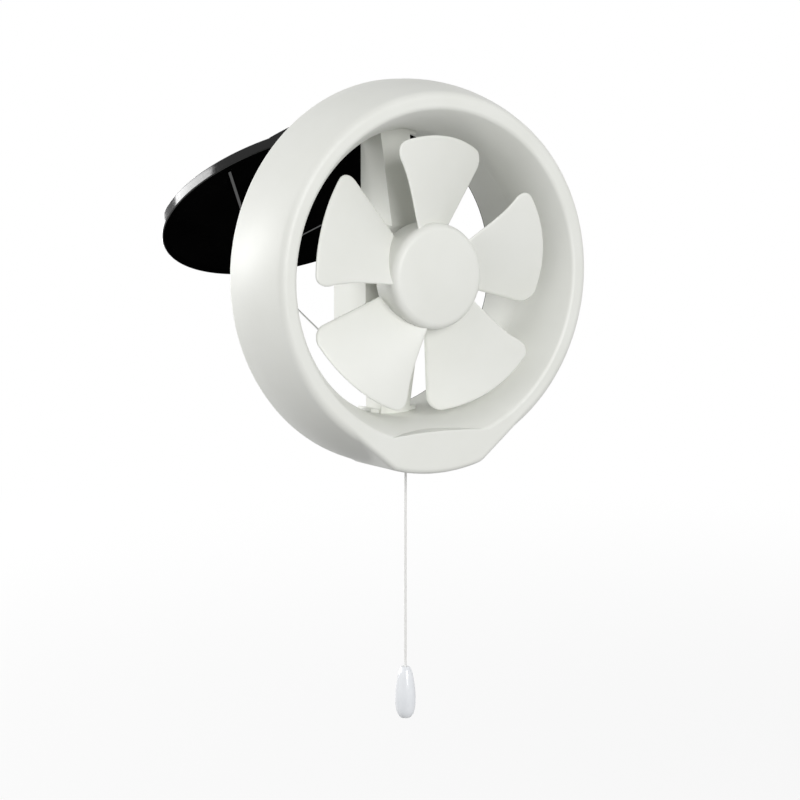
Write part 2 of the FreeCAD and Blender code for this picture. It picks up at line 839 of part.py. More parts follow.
motor_screws = []
for number, (side, level) in enumerate(((-1, -1), (-1, 1), (1, -1), (1, 1))):
    x = "%d * (motor_half_width - motor_wall - motor_post_inset)" % side
    z = "%d * (motor_half_height - motor_wall - motor_post_inset)" % level
    motor_screws.append(screw(
        "motor_screw_%d" % number, Y_AXIS, x, "(column_rear - motor_head_depth)", z,
        "(motor_screw_length - fit_gap)", "motor_head_depth"))
node(gathered("motor_screws", motor_screws))

node(ring("front_bearing", "bearing_bore", "bearing_outer", "front_bearing_front", "front_bearing_rear"))
node(ring("rear_bearing", "bearing_bore", "bearing_outer", "rear_bearing_front", "rear_bearing_rear"))

# Stator: a block of laminations that fills the case, relieved at the posts, and its two end windings
stator_block = block(
    "stator_block",
    "motor_wall + fit_gap - motor_half_width",
    "stack_front",
    "motor_wall + fit_gap - motor_half_height",
    "2 * (motor_half_width - motor_wall - fit_gap)",
    "stack_length",
    "2 * (motor_half_height - motor_wall - fit_gap)",
)
stator_cuts = [rod("stator_hole", Y_AXIS, "0", "stack_front", "0", "stator_bore", "stack_length")]
for number, (side, level) in enumerate(((-1, -1), (-1, 1), (1, -1), (1, 1))):
    x = "%d * (motor_half_width - motor_wall - motor_post_inset)" % side
    z = "%d * (motor_half_height - motor_wall - motor_post_inset)" % level
    stator_cuts.append(rod(
        "stator_relief_%d" % number, Y_AXIS, x, "stack_front", z, "motor_post_radius + fit_gap",
        "stack_length"))
    corner_x = "%d * (motor_half_width - motor_wall) - 0.5 * motor_post_inset" % side
    corner_z = "%d * (motor_half_height - motor_wall) - 0.5 * motor_post_inset" % level
    stator_cuts.append(block(
        "stator_corner_%d" % number,
        "%s - 0.5 * motor_post_inset" % corner_x,
        "stack_front",
        "%s - 0.5 * motor_post_inset" % corner_z,
        "2 * motor_post_inset",
        "stack_length",
        "2 * motor_post_inset",
    ))
node(cut("stator_core", stator_block, fused("stator_cuts", stator_cuts)))
node(gathered("stator_windings", [
    ring("front_winding", "winding_inner", "winding_outer", "front_winding_front", "stack_front"),
    ring("rear_winding", "winding_inner", "winding_outer", "stack_rear", "rear_winding_rear"),
]))

# Turning group: shaft, rotor, washers, hub insert and impeller
node(rod(
    "motor_shaft", Y_AXIS, "0", "shaft_front", "0", "shaft_radius", "rear_bearing_rear - shaft_front"))
node(ring("rotor_core", "insert_bore", "rotor_radius", "stack_front", "stack_rear"))
node(gathered("thrust_washers", [
    ring("front_washer", "washer_inner", "washer_radius", "front_washer_front", "front_washer_rear"),
    ring("rear_washer", "washer_inner", "washer_radius", "rear_washer_front", "rear_washer_rear"),
]))
insert_sleeve = ring("insert_sleeve", "insert_bore", "insert_outer", "shaft_front", "insert_rear")
node(insert_sleeve)
insert_sleeve.Label = "hub_insert"


def blade_sheet():
    """Cambered blade surface, thickened along the axis.

    Between the leading and the trailing edge, the depth grows with a power of the share of the
    chord. The power grows from the root to the tip, so the tip meets the air flat and leaves it steep.
    """
    inner = v.hub_radius - v.hub_wall
    radii = [inner + (1.06 * v.tip_radius - inner) * step / 5.0 for step in range(6)]
    shares = [step / 10.0 for step in range(11)]
    over = 1.06
    grid = []
    for radius in radii:
        along = (radius - v.hub_radius) / (v.tip_radius - v.hub_radius)
        depth = v.blade_depth_root + (v.blade_depth_tip - v.blade_depth_root) * along
        camber = v.blade_camber_root + (v.blade_camber_tip - v.blade_camber_root) * along
        row = []
        for share in shares:
            angle = 90.0 + over * (v.lead_angle - (v.lead_angle + v.trail_angle) * share)
            row.append(polar(radius, angle, v.blade_front + depth * share**camber))
        grid.append(row)
    surface = Part.BSplineSurface()
    surface.interpolate(grid)
    return surface.toShape().extrude(Y_AXIS * v.blade_thick)


def blade_outline():
    """Blade as seen from the front: a hollow leading edge, a round tip and rounded corners."""
    root = v.hub_radius - 0.5 * v.hub_wall
    waist = 0.5 * (root + v.tip_radius)
    lead = 90.0 + v.lead_angle
    lead_waist = 90.0 + v.lead_waist_angle
    lead_tip = 90.0 + v.lead_tip_angle
    trail = 90.0 - v.trail_angle
    edges = [
        arc(polar(root, lead), polar(waist, lead_waist), polar(v.tip_radius, lead_tip)),
        arc(polar(v.tip_radius, lead_tip), polar(v.tip_radius, 90.0), polar(v.tip_radius, trail)),
        line(polar(v.tip_radius, trail), polar(root, trail)),
        arc(polar(root, trail), polar(root, 90.0), polar(root, lead)),
    ]
    depth = v.blade_front + v.blade_depth_tip + 2.0 * v.blade_thick
    prism = face_of(edges).extrude(Y_AXIS * depth)
    corners = []
    for edge in prism.Edges:
        middle = edge.valueAt((edge.FirstParameter + edge.LastParameter) / 2.0)
        if edge.BoundBox.YLength > 0.5 * depth and math.hypot(middle.x, middle.z) > 0.9 * v.tip_radius:
            corners.append(edge)
    return prism.makeFillet(v.tip_corner_round, corners)


def hub():
    """Cup with a slightly domed front, a rounded edge and a boss for the insert."""
    top = v.hub_dome
    edge = v.hub_radius - v.hub_round
    slant = v.hub_round * math.sqrt(0.5)
    inside = v.hub_radius - v.hub_wall
    ceiling = v.hub_dome + v.hub_wall
    boss = v.insert_radius + v.hub_boss_wall
    axis_front = Vector(0, 0, 0)
    rim_front = Vector(edge, top, 0)
    rim_side = Vector(v.hub_radius, top + v.hub_round, 0)
    corner = Vector(edge + slant, top + v.hub_round - slant, 0)
    dome_middle = Vector(0.5 * edge, 0.25 * top, 0)
    wall = [
        rim_side,
        Vector(v.hub_radius, v.hub_depth, 0),
        Vector(inside, v.hub_depth, 0),
        Vector(inside, ceiling, 0),
        Vector(boss, ceiling, 0),
        Vector(boss, v.insert_rear, 0),
        Vector(v.insert_radius, v.insert_rear, 0),
        Vector(v.insert_radius, v.shaft_front - v.fit_gap, 0),
        Vector(0, v.shaft_front - v.fit_gap, 0),
        axis_front,
    ]
    edges = [arc(axis_front, dome_middle, rim_front), arc(rim_front, corner, rim_side)]
    edges += [line(start, end) for start, end in zip(wall, wall[1:])]
    return revolved(edges)


def impeller():
    blade = blade_sheet().common(blade_outline())
    shape = hub()
    for number in range(int(v.blade_count)):
        turned_blade = blade.copy()
        angle = v.first_blade_angle - 90.0 + number * 360.0 / v.blade_count
        turned_blade.rotate(CENTRE, Y_AXIS.negative(), angle)
        shape = shape.fuse(turned_blade)
    return shape.removeSplitter()


node(feature("impeller", impeller()))


def hinge_line(radius, left, right):
    """A cylinder on the hinge's axis."""
    return Part.makeCylinder(radius, right - left, Vector(left, v.hinge_station, v.hinge_height), X_AXIS)


def opened(shape):
    """A piece drawn with the shutter closed, turned about the hinge to the open position."""
    shape.rotate(Vector(0, v.hinge_station, v.hinge_height), X_AXIS, v.shutter_open_angle)
    return shape


def shutter_dish():
    """Round plate with a rim on both sides, its edges rounded."""
    rim_rear = v.lip_front + v.shutter_rim_depth
    plate_front = v.lip_front + v.shutter_lip
    plate_rear = plate_front + v.shutter_plate
    rim_inner = v.shutter_radius - v.shutter_rim_wall
    corners = [
        Vector(0, plate_front, 0),
        Vector(rim_inner, plate_front, 0),
        Vector(rim_inner, v.lip_front, 0),
        Vector(v.shutter_radius, v.lip_front, 0),
        Vector(v.shutter_radius, rim_rear, 0),
        Vector(rim_inner, rim_rear, 0),
        Vector(rim_inner, plate_rear, 0),
        Vector(0, plate_rear, 0),
    ]
    dish = revolved([line(start, end) for start, end in zip(corners, corners[1:] + corners[:1])])
    edges = circles(dish, v.shutter_radius, v.lip_front) + circles(dish, v.shutter_radius, rim_rear)
    return dish.makeFillet(v.shutter_edge_round, edges)


def shutter_ribs():
    """Two straight ribs in a V on the inner face, clear of the seal."""
    face = v.lip_front + v.shutter_lip
    low = Vector(0, face - v.rib_rise, -v.rib_low_z)
    ribs = []
    for side in (-1, 1):
        high = Vector(side * v.rib_top_x, face - v.rib_rise, v.rib_top_z)
        along = (high - low).normalize()
        across = along.cross(Y_AXIS) * (0.5 * v.rib_width)
        rib = polygon([low - across, low + across, high + across, high - across])
        ribs.append(rib.extrude(Y_AXIS * (v.rib_rise + 0.5 * v.shutter_plate)))
    reach = v.duct_radius - v.seal_width
    inside = along_axis(reach, v.lip_front - v.lug_rise, face + v.shutter_plate)
    return ribs[0].fuse(ribs[1]).common(inside)


def shutter():
    """Dish with its ribs, the raised hinge collar, two knuckles and the stay cord's lug."""
    plate_front = v.lip_front + v.shutter_lip
    plate_rear = plate_front + v.shutter_plate
    rim_rear = v.lip_front + v.shutter_rim_depth
    collar_rear = rim_rear + v.collar_rise
    outer_knuckle = v.hinge_pin_radius + v.running_gap + v.knuckle_wall
    collar_inner = v.shutter_radius - v.collar_width
    collar = sector(
        collar_inner,
        v.shutter_radius,
        90.0 - v.collar_half_angle,
        90.0 + v.collar_half_angle,
        plate_rear - 0.5 * v.shutter_plate,
        collar_rear,
    )
    for side in (-1, 1):
        end = 90.0 + side * v.collar_half_angle
        foot = polar(collar_inner - v.collar_width, end)
        outward = polar(1.0, end)
        onward = polar(side * v.collar_ramp, end + 90.0)
        ramp = polygon([
            foot + Y_AXIS * rim_rear,
            foot - onward + Y_AXIS * collar_rear,
            foot + onward + Y_AXIS * collar_rear,
            foot + onward + Y_AXIS * rim_rear,
        ])
        collar = collar.cut(ramp.extrude(outward * (4.0 * v.collar_width)))
    lug = Part.makeBox(
        2 * v.lug_half_width,
        v.lug_rise + 0.5 * v.shutter_plate,
        2 * v.lug_half_height,
        Vector(-v.lug_half_width, plate_front - v.lug_rise, -v.lug_height - v.lug_half_height),
    )
    lug_hole = Part.makeCylinder(
        v.stay_radius + v.fit_gap,
        2 * v.lug_half_width,
        Vector(-v.lug_half_width, plate_front - 0.5 * v.lug_rise, -v.lug_height),
        X_AXIS,
    )
    shape = shutter_dish().fuse(collar).fuse(shutter_ribs()).fuse(lug.cut(lug_hole))
    inner = v.knuckle_inner
    outer = v.knuckle_inner + v.knuckle_length
    shape = shape.cut(hinge_line(outer_knuckle + v.fit_gap, -inner, inner))
    for left, right in ((-outer, -inner), (inner, outer)):
        web = side_prism(
            [
                (rim_rear - v.shutter_rim_wall, v.hinge_height - v.collar_width),
                (v.hinge_station + outer_knuckle, v.hinge_height - v.collar_width),
                (v.hinge_station + outer_knuckle, v.hinge_height),
                (rim_rear - v.shutter_rim_wall, v.hinge_height),
            ],
            left,
            right,
        )
        shape = shape.fuse(web).fuse(hinge_line(outer_knuckle, left, right))
    shape = shape.cut(hinge_line(v.hinge_pin_radius + v.running_gap, -outer, outer))
    return opened(shape.removeSplitter())


node(feature("shutter", shutter()))


def ear_inner():
    """Inner face of the hinge ears, beside the knuckles."""
    return v.knuckle_inner + v.knuckle_length + v.fit_gap


def hinge_bracket():
    """Saddle on the spigot's top, with two ears that carry the hinge pin over the shutter's rim."""
    inner = v.spigot_outer + v.seat_gap
    outer = inner + v.saddle_thick
    rear = v.saddle_front + v.saddle_length
    shape = sector(
        inner, outer, 90.0 - v.saddle_half_angle, 90.0 + v.saddle_half_angle, v.saddle_front, rear)
    eye = v.hinge_pin_radius + v.running_gap + v.knuckle_wall
    left = ear_inner()
    right = left + v.ear_thick
    foot = math.sqrt(inner**2 - right**2) - v.saddle_thick
    outline = [
        (v.ear_front, foot),
        (rear, foot),
        (rear, v.hinge_height - eye),
        (v.hinge_station, v.hinge_height - eye),
        (v.hinge_station, v.hinge_height + eye),
        (rear, v.hinge_height + eye),
        (v.ear_front, foot + eye),
    ]
    below = along_axis(inner, v.saddle_front, rear)
    for start, end in ((-right, -left), (left, right)):
        ear = side_prism(outline, start, end).fuse(hinge_line(eye, start, end))
        shape = shape.fuse(ear.cut(below))
    shape = shape.cut(hinge_line(v.hinge_pin_radius + v.press_gap, -right, right))
    for station in (v.column_screw_front, v.column_screw_front + v.column_screw_pitch):
        hole = Part.makeCylinder(
            v.screw_radius + v.screw_hole_gap,
            2 * v.saddle_thick,
            Vector(0, station, inner - v.seat_gap),
            Z_AXIS,
        )
        shape = shape.cut(hole)
    return shape.removeSplitter()


node(feature("hinge_bracket", hinge_bracket()))

ear_outer = "(knuckle_inner + knuckle_length + fit_gap + ear_thick)"
node(fused("hinge_pin", [
    rod("pin_shank", X_AXIS, "-%s" % ear_outer, "hinge_station", "hinge_height", "hinge_pin_radius",
        "2 * %s" % ear_outer),
    rod("pin_head", X_AXIS, ear_outer, "hinge_station", "hinge_height", "pin_head_radius", "pin_head_thick"),
]))

# Torsion spring round the hinge pin, between the shutter's knuckles
hinge_spring_tube = rod(
    "hinge_spring_tube", X_AXIS, "-0.5 * hinge_spring_length", "hinge_station", "hinge_height",
    "hinge_pin_radius + fit_gap + spring_wire", "hinge_spring_length")
hinge_spring_core = rod(
    "hinge_spring_core", X_AXIS, "-0.5 * hinge_spring_length", "hinge_station", "hinge_height",
    "hinge_pin_radius + fit_gap", "hinge_spring_length")
node(cut("hinge_spring", hinge_spring_tube, hinge_spring_core))


def eyelet_centre():
    station = v.column_rear - v.notch_depth + v.eyelet_ring + v.eyelet_wire + v.fit_gap
    return Vector(0, station, -v.eyelet_height)


def stay_eyelet():
    """Ring on a shank, fixed in the column's lower foot."""
    centre = eyelet_centre()
    loop = Part.makeTorus(v.eyelet_ring, v.eyelet_wire, centre, X_AXIS)
    shank_front = v.column_rear - v.notch_depth - v.eyelet_shank + v.fit_gap
    return loop.fuse(along_axis(v.eyelet_wire, shank_front, centre.y - v.eyelet_ring, 0.0, centre.z))


node(feature("stay_eyelet", stay_eyelet()))


def stay_cord():
    """Straight cord from the eyelet to the open shutter's lug."""
    lug_tip = Vector(0, v.lip_front + v.shutter_lip - v.lug_rise, -v.lug_height)
    pivot = Vector(0, v.hinge_station, v.hinge_height)
    swing = Rotation(X_AXIS, v.shutter_open_angle)
    tip = pivot + swing.multVec(lug_tip - pivot)
    outward = swing.multVec(Y_AXIS.negative())
    end = tip + outward * (v.fit_gap + v.stay_radius)
    centre = eyelet_centre()
    along = (end - centre).normalize()
    start = centre + along * (v.eyelet_ring + v.eyelet_wire + v.seat_gap)
    print("stay cord: length %.1f mm" % (end - start).Length)
    return Part.makeCylinder(v.stay_radius, (end - start).Length, start, along)


node(feature("stay_cord", stay_cord()))

# Pull switch: an open box on the flange with a cover, a lever on a pin, its spring and contacts
switch_front = "(flange_front - switch_depth)"
switch_width = "(switch_left + switch_right)"
switch_floor = "(switch_top + switch_height)"
switch_box = block(
    "switch_box", "-switch_left", switch_front, "-%s" % switch_floor, switch_width, "switch_depth",
    "switch_height")
switch_hollow = block(
    "switch_hollow",
    "switch_wall - switch_left",
    switch_front,
    "switch_wall - %s" % switch_floor,
    "%s - 2 * switch_wall" % switch_width,
    "switch_depth - switch_wall",
    "switch_height - 2 * switch_wall",
)
switch_cord_hole = rod(
    "switch_cord_hole", Z_AXIS, "0", "cord_station", "-%s" % switch_floor,
    "cord_radius + guide_bore_gap", "switch_wall")
lever_pin_hole = rod(
    "lever_pin_hole", Y_AXIS, "-lever_arm", "(flange_front - switch_wall)", "-lever_height",
    "lever_pin_radius + press_gap", "0.5 * switch_wall")
node(cut("switch_body", switch_box, gathered(
    "switch_cuts", [switch_hollow, switch_cord_hole, lever_pin_hole])))
node(block(
    "switch_cover", "-switch_left", "(%s - switch_cover_thick)" % switch_front, "-%s" % switch_floor,
    switch_width, "switch_cover_thick", "switch_height"))
node(rod(
    "lever_pin", Y_AXIS, "-lever_arm", "(%s + seat_gap)" % switch_front, "-lever_height", "lever_pin_radius",
    "switch_depth - switch_wall + 0.5 * switch_wall - 2 * seat_gap"))

lever_front = "(cord_station - 0.5 * lever_width)"
lever_bar = block(
    "lever_bar", "-lever_arm", lever_front, "-lever_height - 0.5 * lever_thick",
    "lever_arm + lever_reach", "lever_width", "lever_thick")
lever_eye = rod(
    "lever_eye", Y_AXIS, "-lever_arm", lever_front, "-lever_height", "lever_eye_radius", "lever_width")
lever_bore = rod(
    "lever_bore", Y_AXIS, "-lever_arm", lever_front, "-lever_height", "lever_pin_radius + running_gap",
    "lever_width")
lever_slot = block(
    "lever_slot", "-lever_slot_back", "(cord_station - cord_radius - fit_gap)",
    "-lever_height - 0.5 * lever_thick", "lever_slot_back + lever_reach", "2 * (cord_radius + fit_gap)",
    "lever_thick")
node(cut("switch_lever", fused("lever_blank", [lever_bar, lever_eye]), gathered(
    "lever_cuts", [lever_bore, lever_slot])))

spring_low = "(switch_wall - %s)" % switch_floor
spring_length = "(%s - switch_wall - lever_height - 0.5 * lever_thick - fit_gap)" % switch_floor
spring_tube = rod(
    "spring_tube", Z_AXIS, "-return_spring_place", "cord_station", spring_low, "return_spring_radius",
    spring_length)
spring_core = rod(
    "spring_core", Z_AXIS, "-return_spring_place", "cord_station", spring_low,
    "return_spring_radius - return_spring_wire", spring_length)
node(cut("return_spring", spring_tube, spring_core))

contact_top = "(-switch_top - switch_wall - contact_thick)"
node(gathered("switch_contacts", [
    block("front_contact", "-lever_arm + lever_eye_radius", "(%s + seat_gap)" % switch_front, contact_top,
          "contact_length", "contact_width", "contact_thick"),
    block("rear_contact", "-lever_arm + lever_eye_radius",
          "(flange_front - switch_wall - contact_width - seat_gap)", contact_top,
          "contact_length", "contact_width", "contact_thick"),
]))

# Pull cord, the ferrule that hangs it on the lever, the bush in the drum and the handle
ferrule_low = "(0.5 * lever_thick + fit_gap - lever_height)"
cord_low = "(-drum_radius - cord_visible)"
ferrule_tube = rod(
    "ferrule_tube", Z_AXIS, "0", "cord_station", ferrule_low, "ferrule_radius", "ferrule_length")
ferrule_bore = rod(
    "ferrule_bore", Z_AXIS, "0", "cord_station", ferrule_low, "cord_radius + press_gap", "ferrule_length")
node(cut("cord_ferrule", ferrule_tube, ferrule_bore))
node(rod(
    "pull_cord", Z_AXIS, "0", "cord_station", cord_low, "cord_radius",
    "%s + ferrule_length - %s" % (ferrule_low, cord_low)))

guide_tube = rod(
    "guide_tube", Z_AXIS, "0", "cord_station", "-chin_radius", "guide_radius", "2 * housing_wall")
guide_flange = rod(
    "guide_flange", Z_AXIS.negative(), "0", "cord_station", "-chin_radius", "guide_flange_radius",
    "guide_flange_thick")
guide_bore = rod(
    "guide_bore", Z_AXIS, "0", "cord_station", "-chin_radius - guide_flange_thick",
    "cord_radius + guide_bore_gap", "guide_flange_thick + 2 * housing_wall")
node(cut("cord_guide", fused("guide_blank", [guide_tube, guide_flange]), guide_bore))


def pull_handle():
    """Teardrop turned about the cord: a narrow neck that swells to a round foot."""
    top = -v.drum_radius - v.cord_visible
    neck = v.handle_neck_radius
    widest = v.handle_radius
    swell = [
        (neck, 0.0), (0.67 * widest, 0.11), (0.83 * widest, 0.26), (0.95 * widest, 0.43), (widest, 0.6),
        (0.95 * widest, 0.8), (0.82 * widest, 0.91), (0.5 * widest, 1.0),
    ]
    points = [Vector(radius, 0, top - share * v.handle_length) for radius, share in swell]
    curve = Part.BSplineCurve()
    curve.interpolate(points)
    crown = Vector(0, 0, top)
    foot = Vector(0, 0, top - v.handle_length)
    outline = face_of([
        line(crown, points[0]),
        curve.toShape(),
        line(points[-1], foot),
        line(foot, crown),
    ])
    body = outline.revolve(CENTRE, Z_AXIS, 360)
    body.translate(Vector(0, v.cord_station, 0))
    return body


node(feature("pull_handle", pull_handle()))

# Electrical pieces on the flange's inner face, and the bush for the mains lead
node(block(
    "terminal_block", "block_circle * cos(block_angle) - 0.5 * block_width",
    "(flange_front - terminal_depth)", "-block_circle * sin(block_angle) - 0.5 * block_height",
    "block_width", "terminal_depth", "block_height"))
node(block(
    "run_capacitor", "-block_circle * cos(block_angle) - 0.5 * block_width",
    "(flange_front - capacitor_depth)", "-block_circle * sin(block_angle) - 0.5 * block_height",
    "block_width", "capacitor_depth", "block_height"))


def cable_grommet():
    """Bush in the drum's wall, with a lip outside."""
    outward = polar(1.0, v.grommet_angle)
    inner = v.drum_radius - 2.0 * v.housing_wall
    start = polar(inner, v.grommet_angle, v.grommet_station)
    lip_start = polar(v.drum_radius + v.seat_gap, v.grommet_angle, v.grommet_station)
    length = v.drum_radius + v.seat_gap + v.grommet_lip_thick - inner
    shape = Part.makeCylinder(v.grommet_radius, length, start, outward)
    shape = shape.fuse(Part.makeCylinder(
        v.grommet_radius + v.grommet_lip, v.grommet_lip_thick, lip_start, outward))
    return shape.cut(Part.makeCylinder(v.grommet_bore, length, start, outward))


node(feature("cable_grommet", cable_grommet()))

doc.recompute()
for obj in doc.Objects:
    if "Invalid" in obj.State or "Error" in obj.State:
        raise RuntimeError("failed object: %s %s" % (obj.Label, obj.State))
for obj in nodes:
    if obj.Shape.isNull() or not obj.Shape.isValid() or not obj.Shape.Solids:
        raise RuntimeError("bad shape: %s" % obj.Label)

os.makedirs("parts", exist_ok=True)
for obj in nodes:
    obj.Shape.exportStep(os.path.join("parts", obj.Label + ".step"))
    print("%-18s solids %d volume %.0f mm3" % (obj.Label, len(obj.Shape.Solids), obj.Shape.Volume))
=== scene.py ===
"""Looks for a round window exhaust fan with an open shutter and a pull cord.

Metres, in the CAD part's frame: the origin is on the fan's axis in the pane's plane, +X is to the right
as seen from the room, +Y points outdoors and +Z points up. A station is a distance behind the front rim.
"""
import math

import bmesh
import bpy
import numpy as np
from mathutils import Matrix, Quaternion, Vector


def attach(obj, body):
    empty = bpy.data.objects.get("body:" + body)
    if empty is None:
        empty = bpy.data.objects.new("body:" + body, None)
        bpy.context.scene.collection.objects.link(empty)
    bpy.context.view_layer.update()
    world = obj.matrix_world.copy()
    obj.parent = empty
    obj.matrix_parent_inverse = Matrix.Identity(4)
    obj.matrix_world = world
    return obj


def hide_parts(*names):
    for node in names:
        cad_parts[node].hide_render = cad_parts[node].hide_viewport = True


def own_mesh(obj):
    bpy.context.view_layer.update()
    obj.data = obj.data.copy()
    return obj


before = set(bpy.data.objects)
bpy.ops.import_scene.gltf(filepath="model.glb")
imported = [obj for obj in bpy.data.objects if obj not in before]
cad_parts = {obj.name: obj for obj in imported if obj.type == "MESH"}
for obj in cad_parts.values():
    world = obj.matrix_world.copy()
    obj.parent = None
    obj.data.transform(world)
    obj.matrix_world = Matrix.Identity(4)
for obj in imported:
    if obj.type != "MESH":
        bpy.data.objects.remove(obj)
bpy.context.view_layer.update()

MM = 0.001
PANE = 58.0


# Colour and shader helpers


def hex_colour(text):
    """An sRGB hex value as linear RGBA."""
    channels = [int(text[i:i + 2], 16) / 255.0 for i in (1, 3, 5)]
    linear = [c / 12.92 if c <= 0.04045 else ((c + 0.055) / 1.055) ** 2.4 for c in channels]
    return (*linear, 1.0)


def add_node(tree, kind, settings=None, links=None, **values):
    """Add a shader node, set its properties and input values, and link other sockets to its inputs."""
    made = tree.nodes.new(kind)
    for key, value in (settings or {}).items():
        setattr(made, key, value)
    for key, value in values.items():
        made.inputs[key.replace("_", " ")].default_value = value
    for key, socket in (links or {}).items():
        tree.links.new(socket, made.inputs[key])
    return made


def surface(name, colour, dark, roughness, spread, metallic=0.0, ior=1.5, patch_mm=40.0, grain_mm=1.2,
            bump_mm=0.02, specular=0.5):
    """A moulded, cast or plated finish.

    Slow colour drift between two tones over patch_mm, roughness that varies by spread, and a fine
    surface grain of grain_mm that lifts the surface by bump_mm.
    """
    material = bpy.data.materials.new(name)
    material.use_nodes = True
    tree = material.node_tree
    tree.nodes.clear()
    place = add_node(tree, "ShaderNodeTexCoord").outputs["Object"]
    drift = add_node(tree, "ShaderNodeTexNoise", None, {"Vector": place}, Scale=1.0 / (patch_mm * MM),
                     Detail=3.0, Roughness=0.55)
    tone = add_node(tree, "ShaderNodeValToRGB", None, {"Fac": drift.outputs["Fac"]})
    tone.color_ramp.elements[0].position = 0.3
    tone.color_ramp.elements[1].position = 0.75
    tone.color_ramp.elements[0].color = hex_colour(dark)
    tone.color_ramp.elements[1].color = hex_colour(colour)
    grain = add_node(tree, "ShaderNodeTexNoise", None, {"Vector": place}, Scale=1.0 / (grain_mm * MM),
                     Detail=2.0, Roughness=0.5)
    gloss = add_node(tree, "ShaderNodeMapRange", None, {"Value": grain.outputs["Fac"]}, From_Min=0.3,
                     From_Max=0.7, To_Min=roughness - spread, To_Max=roughness + spread)
    relief = add_node(tree, "ShaderNodeBump", None, {"Height": grain.outputs["Fac"]}, Strength=0.35,
                      Distance=bump_mm * MM)
    shader = add_node(tree, "ShaderNodeBsdfPrincipled", None, {
        "Base Color": tone.outputs["Color"],
        "Roughness": gloss.outputs["Result"],
        "Normal": relief.outputs["Normal"],
    }, Metallic=metallic, IOR=ior, Specular_IOR_Level=specular)
    add_node(tree, "ShaderNodeOutputMaterial", None, {"Surface": shader.outputs["BSDF"]})
    return material


# Off-white ABS, injection moulded: satin skin with a very slight warm and grey drift
abs_white = surface("moulded_abs_offwhite", "#e9eae5", "#e4e5df", 0.46, 0.05, ior=1.54, patch_mm=55.0,
                    grain_mm=0.9, bump_mm=0.012)
# Black polystyrene off a polished mould, on the shutter's rim and outer face: deep gloss with faint ripples
styrene_gloss = surface("polished_black_polystyrene", "#060606", "#030303", 0.14, 0.04, ior=1.59,
                        patch_mm=30.0, grain_mm=2.0, bump_mm=0.004, specular=0.25)
# Black polystyrene off a finely etched mould, on the shutter's inner face: dull and very dark
styrene_dull = surface("etched_black_polystyrene", "#0b0b0b", "#060606", 0.5, 0.06, ior=1.59, patch_mm=30.0,
                       grain_mm=1.0, bump_mm=0.006, specular=0.0)
# Foam-backed nitrile rubber: matt and dusty
rubber_black = surface("nitrile_rubber", "#2c2c2b", "#232322", 0.8, 0.08, ior=1.52, patch_mm=12.0,
                       grain_mm=0.7, bump_mm=0.05)
# Zinc-plated steel: bright, slightly cloudy
steel_zinc = surface("zinc_plated_steel", "#b9bab6", "#a3a5a2", 0.32, 0.08, metallic=1.0, patch_mm=5.0,
                     grain_mm=0.6, bump_mm=0.01)
# Ground steel: even and sharp
steel_ground = surface("ground_steel", "#b4b4b4", "#a2a2a2", 0.22, 0.05, metallic=1.0, patch_mm=6.0,
                       grain_mm=0.4, bump_mm=0.006)
# Drawn spring wire: grey and slightly dull
steel_wire = surface("drawn_spring_wire", "#8d8d8c", "#797977", 0.3, 0.06, metallic=1.0, patch_mm=4.0,
                     grain_mm=0.4, bump_mm=0.006)
# Grey stoving enamel on steel
enamel_grey = surface("grey_enamelled_steel", "#c3c3c0", "#b8b8b5", 0.38, 0.06, patch_mm=25.0, grain_mm=0.8,
                      bump_mm=0.015)
# Sintered bronze: porous and matt
bronze = surface("sintered_bronze", "#9a7445", "#7f5d35", 0.55, 0.1, metallic=1.0, patch_mm=2.0, grain_mm=0.3,
                 bump_mm=0.03)
# Stacked electrical steel
laminations = surface("electrical_steel", "#6d6d6f", "#585859", 0.5, 0.1, metallic=1.0, patch_mm=6.0,
                      grain_mm=0.5, bump_mm=0.03)
# Enamelled copper wire
copper = surface("enamelled_copper", "#a5603a", "#8a4a2a", 0.35, 0.08, metallic=0.8, patch_mm=3.0,
                 grain_mm=0.5, bump_mm=0.06)
# Vulcanised fibre
fibre = surface("vulcanised_fibre", "#8a5a3a", "#774a2e", 0.6, 0.08, patch_mm=4.0, grain_mm=0.4, bump_mm=0.02)
# Turned brass
brass = surface("turned_brass", "#c8a45a", "#b08c46", 0.3, 0.07, metallic=1.0, patch_mm=4.0, grain_mm=0.4,
                bump_mm=0.008)
# Black phenolic moulding
phenolic = surface("black_phenolic", "#2f2d2b", "#262422", 0.45, 0.08, patch_mm=8.0, grain_mm=0.6,
                   bump_mm=0.02)
# Grey polypropylene capacitor case
capacitor_case = surface("grey_polypropylene", "#c8c8c2", "#bcbcb6", 0.42, 0.06, patch_mm=10.0, grain_mm=0.7,
                         bump_mm=0.015)
# White nylon bush
nylon = surface("white_nylon", "#eceae4", "#e2e0d9", 0.4, 0.06, patch_mm=6.0, grain_mm=0.6, bump_mm=0.015)
# White polished polystyrene handle, a little bluish
styrene_white = surface("white_polystyrene", "#f1f3f6", "#e9ecf0", 0.18, 0.04, ior=1.59, patch_mm=18.0,
                        grain_mm=1.0, bump_mm=0.006)

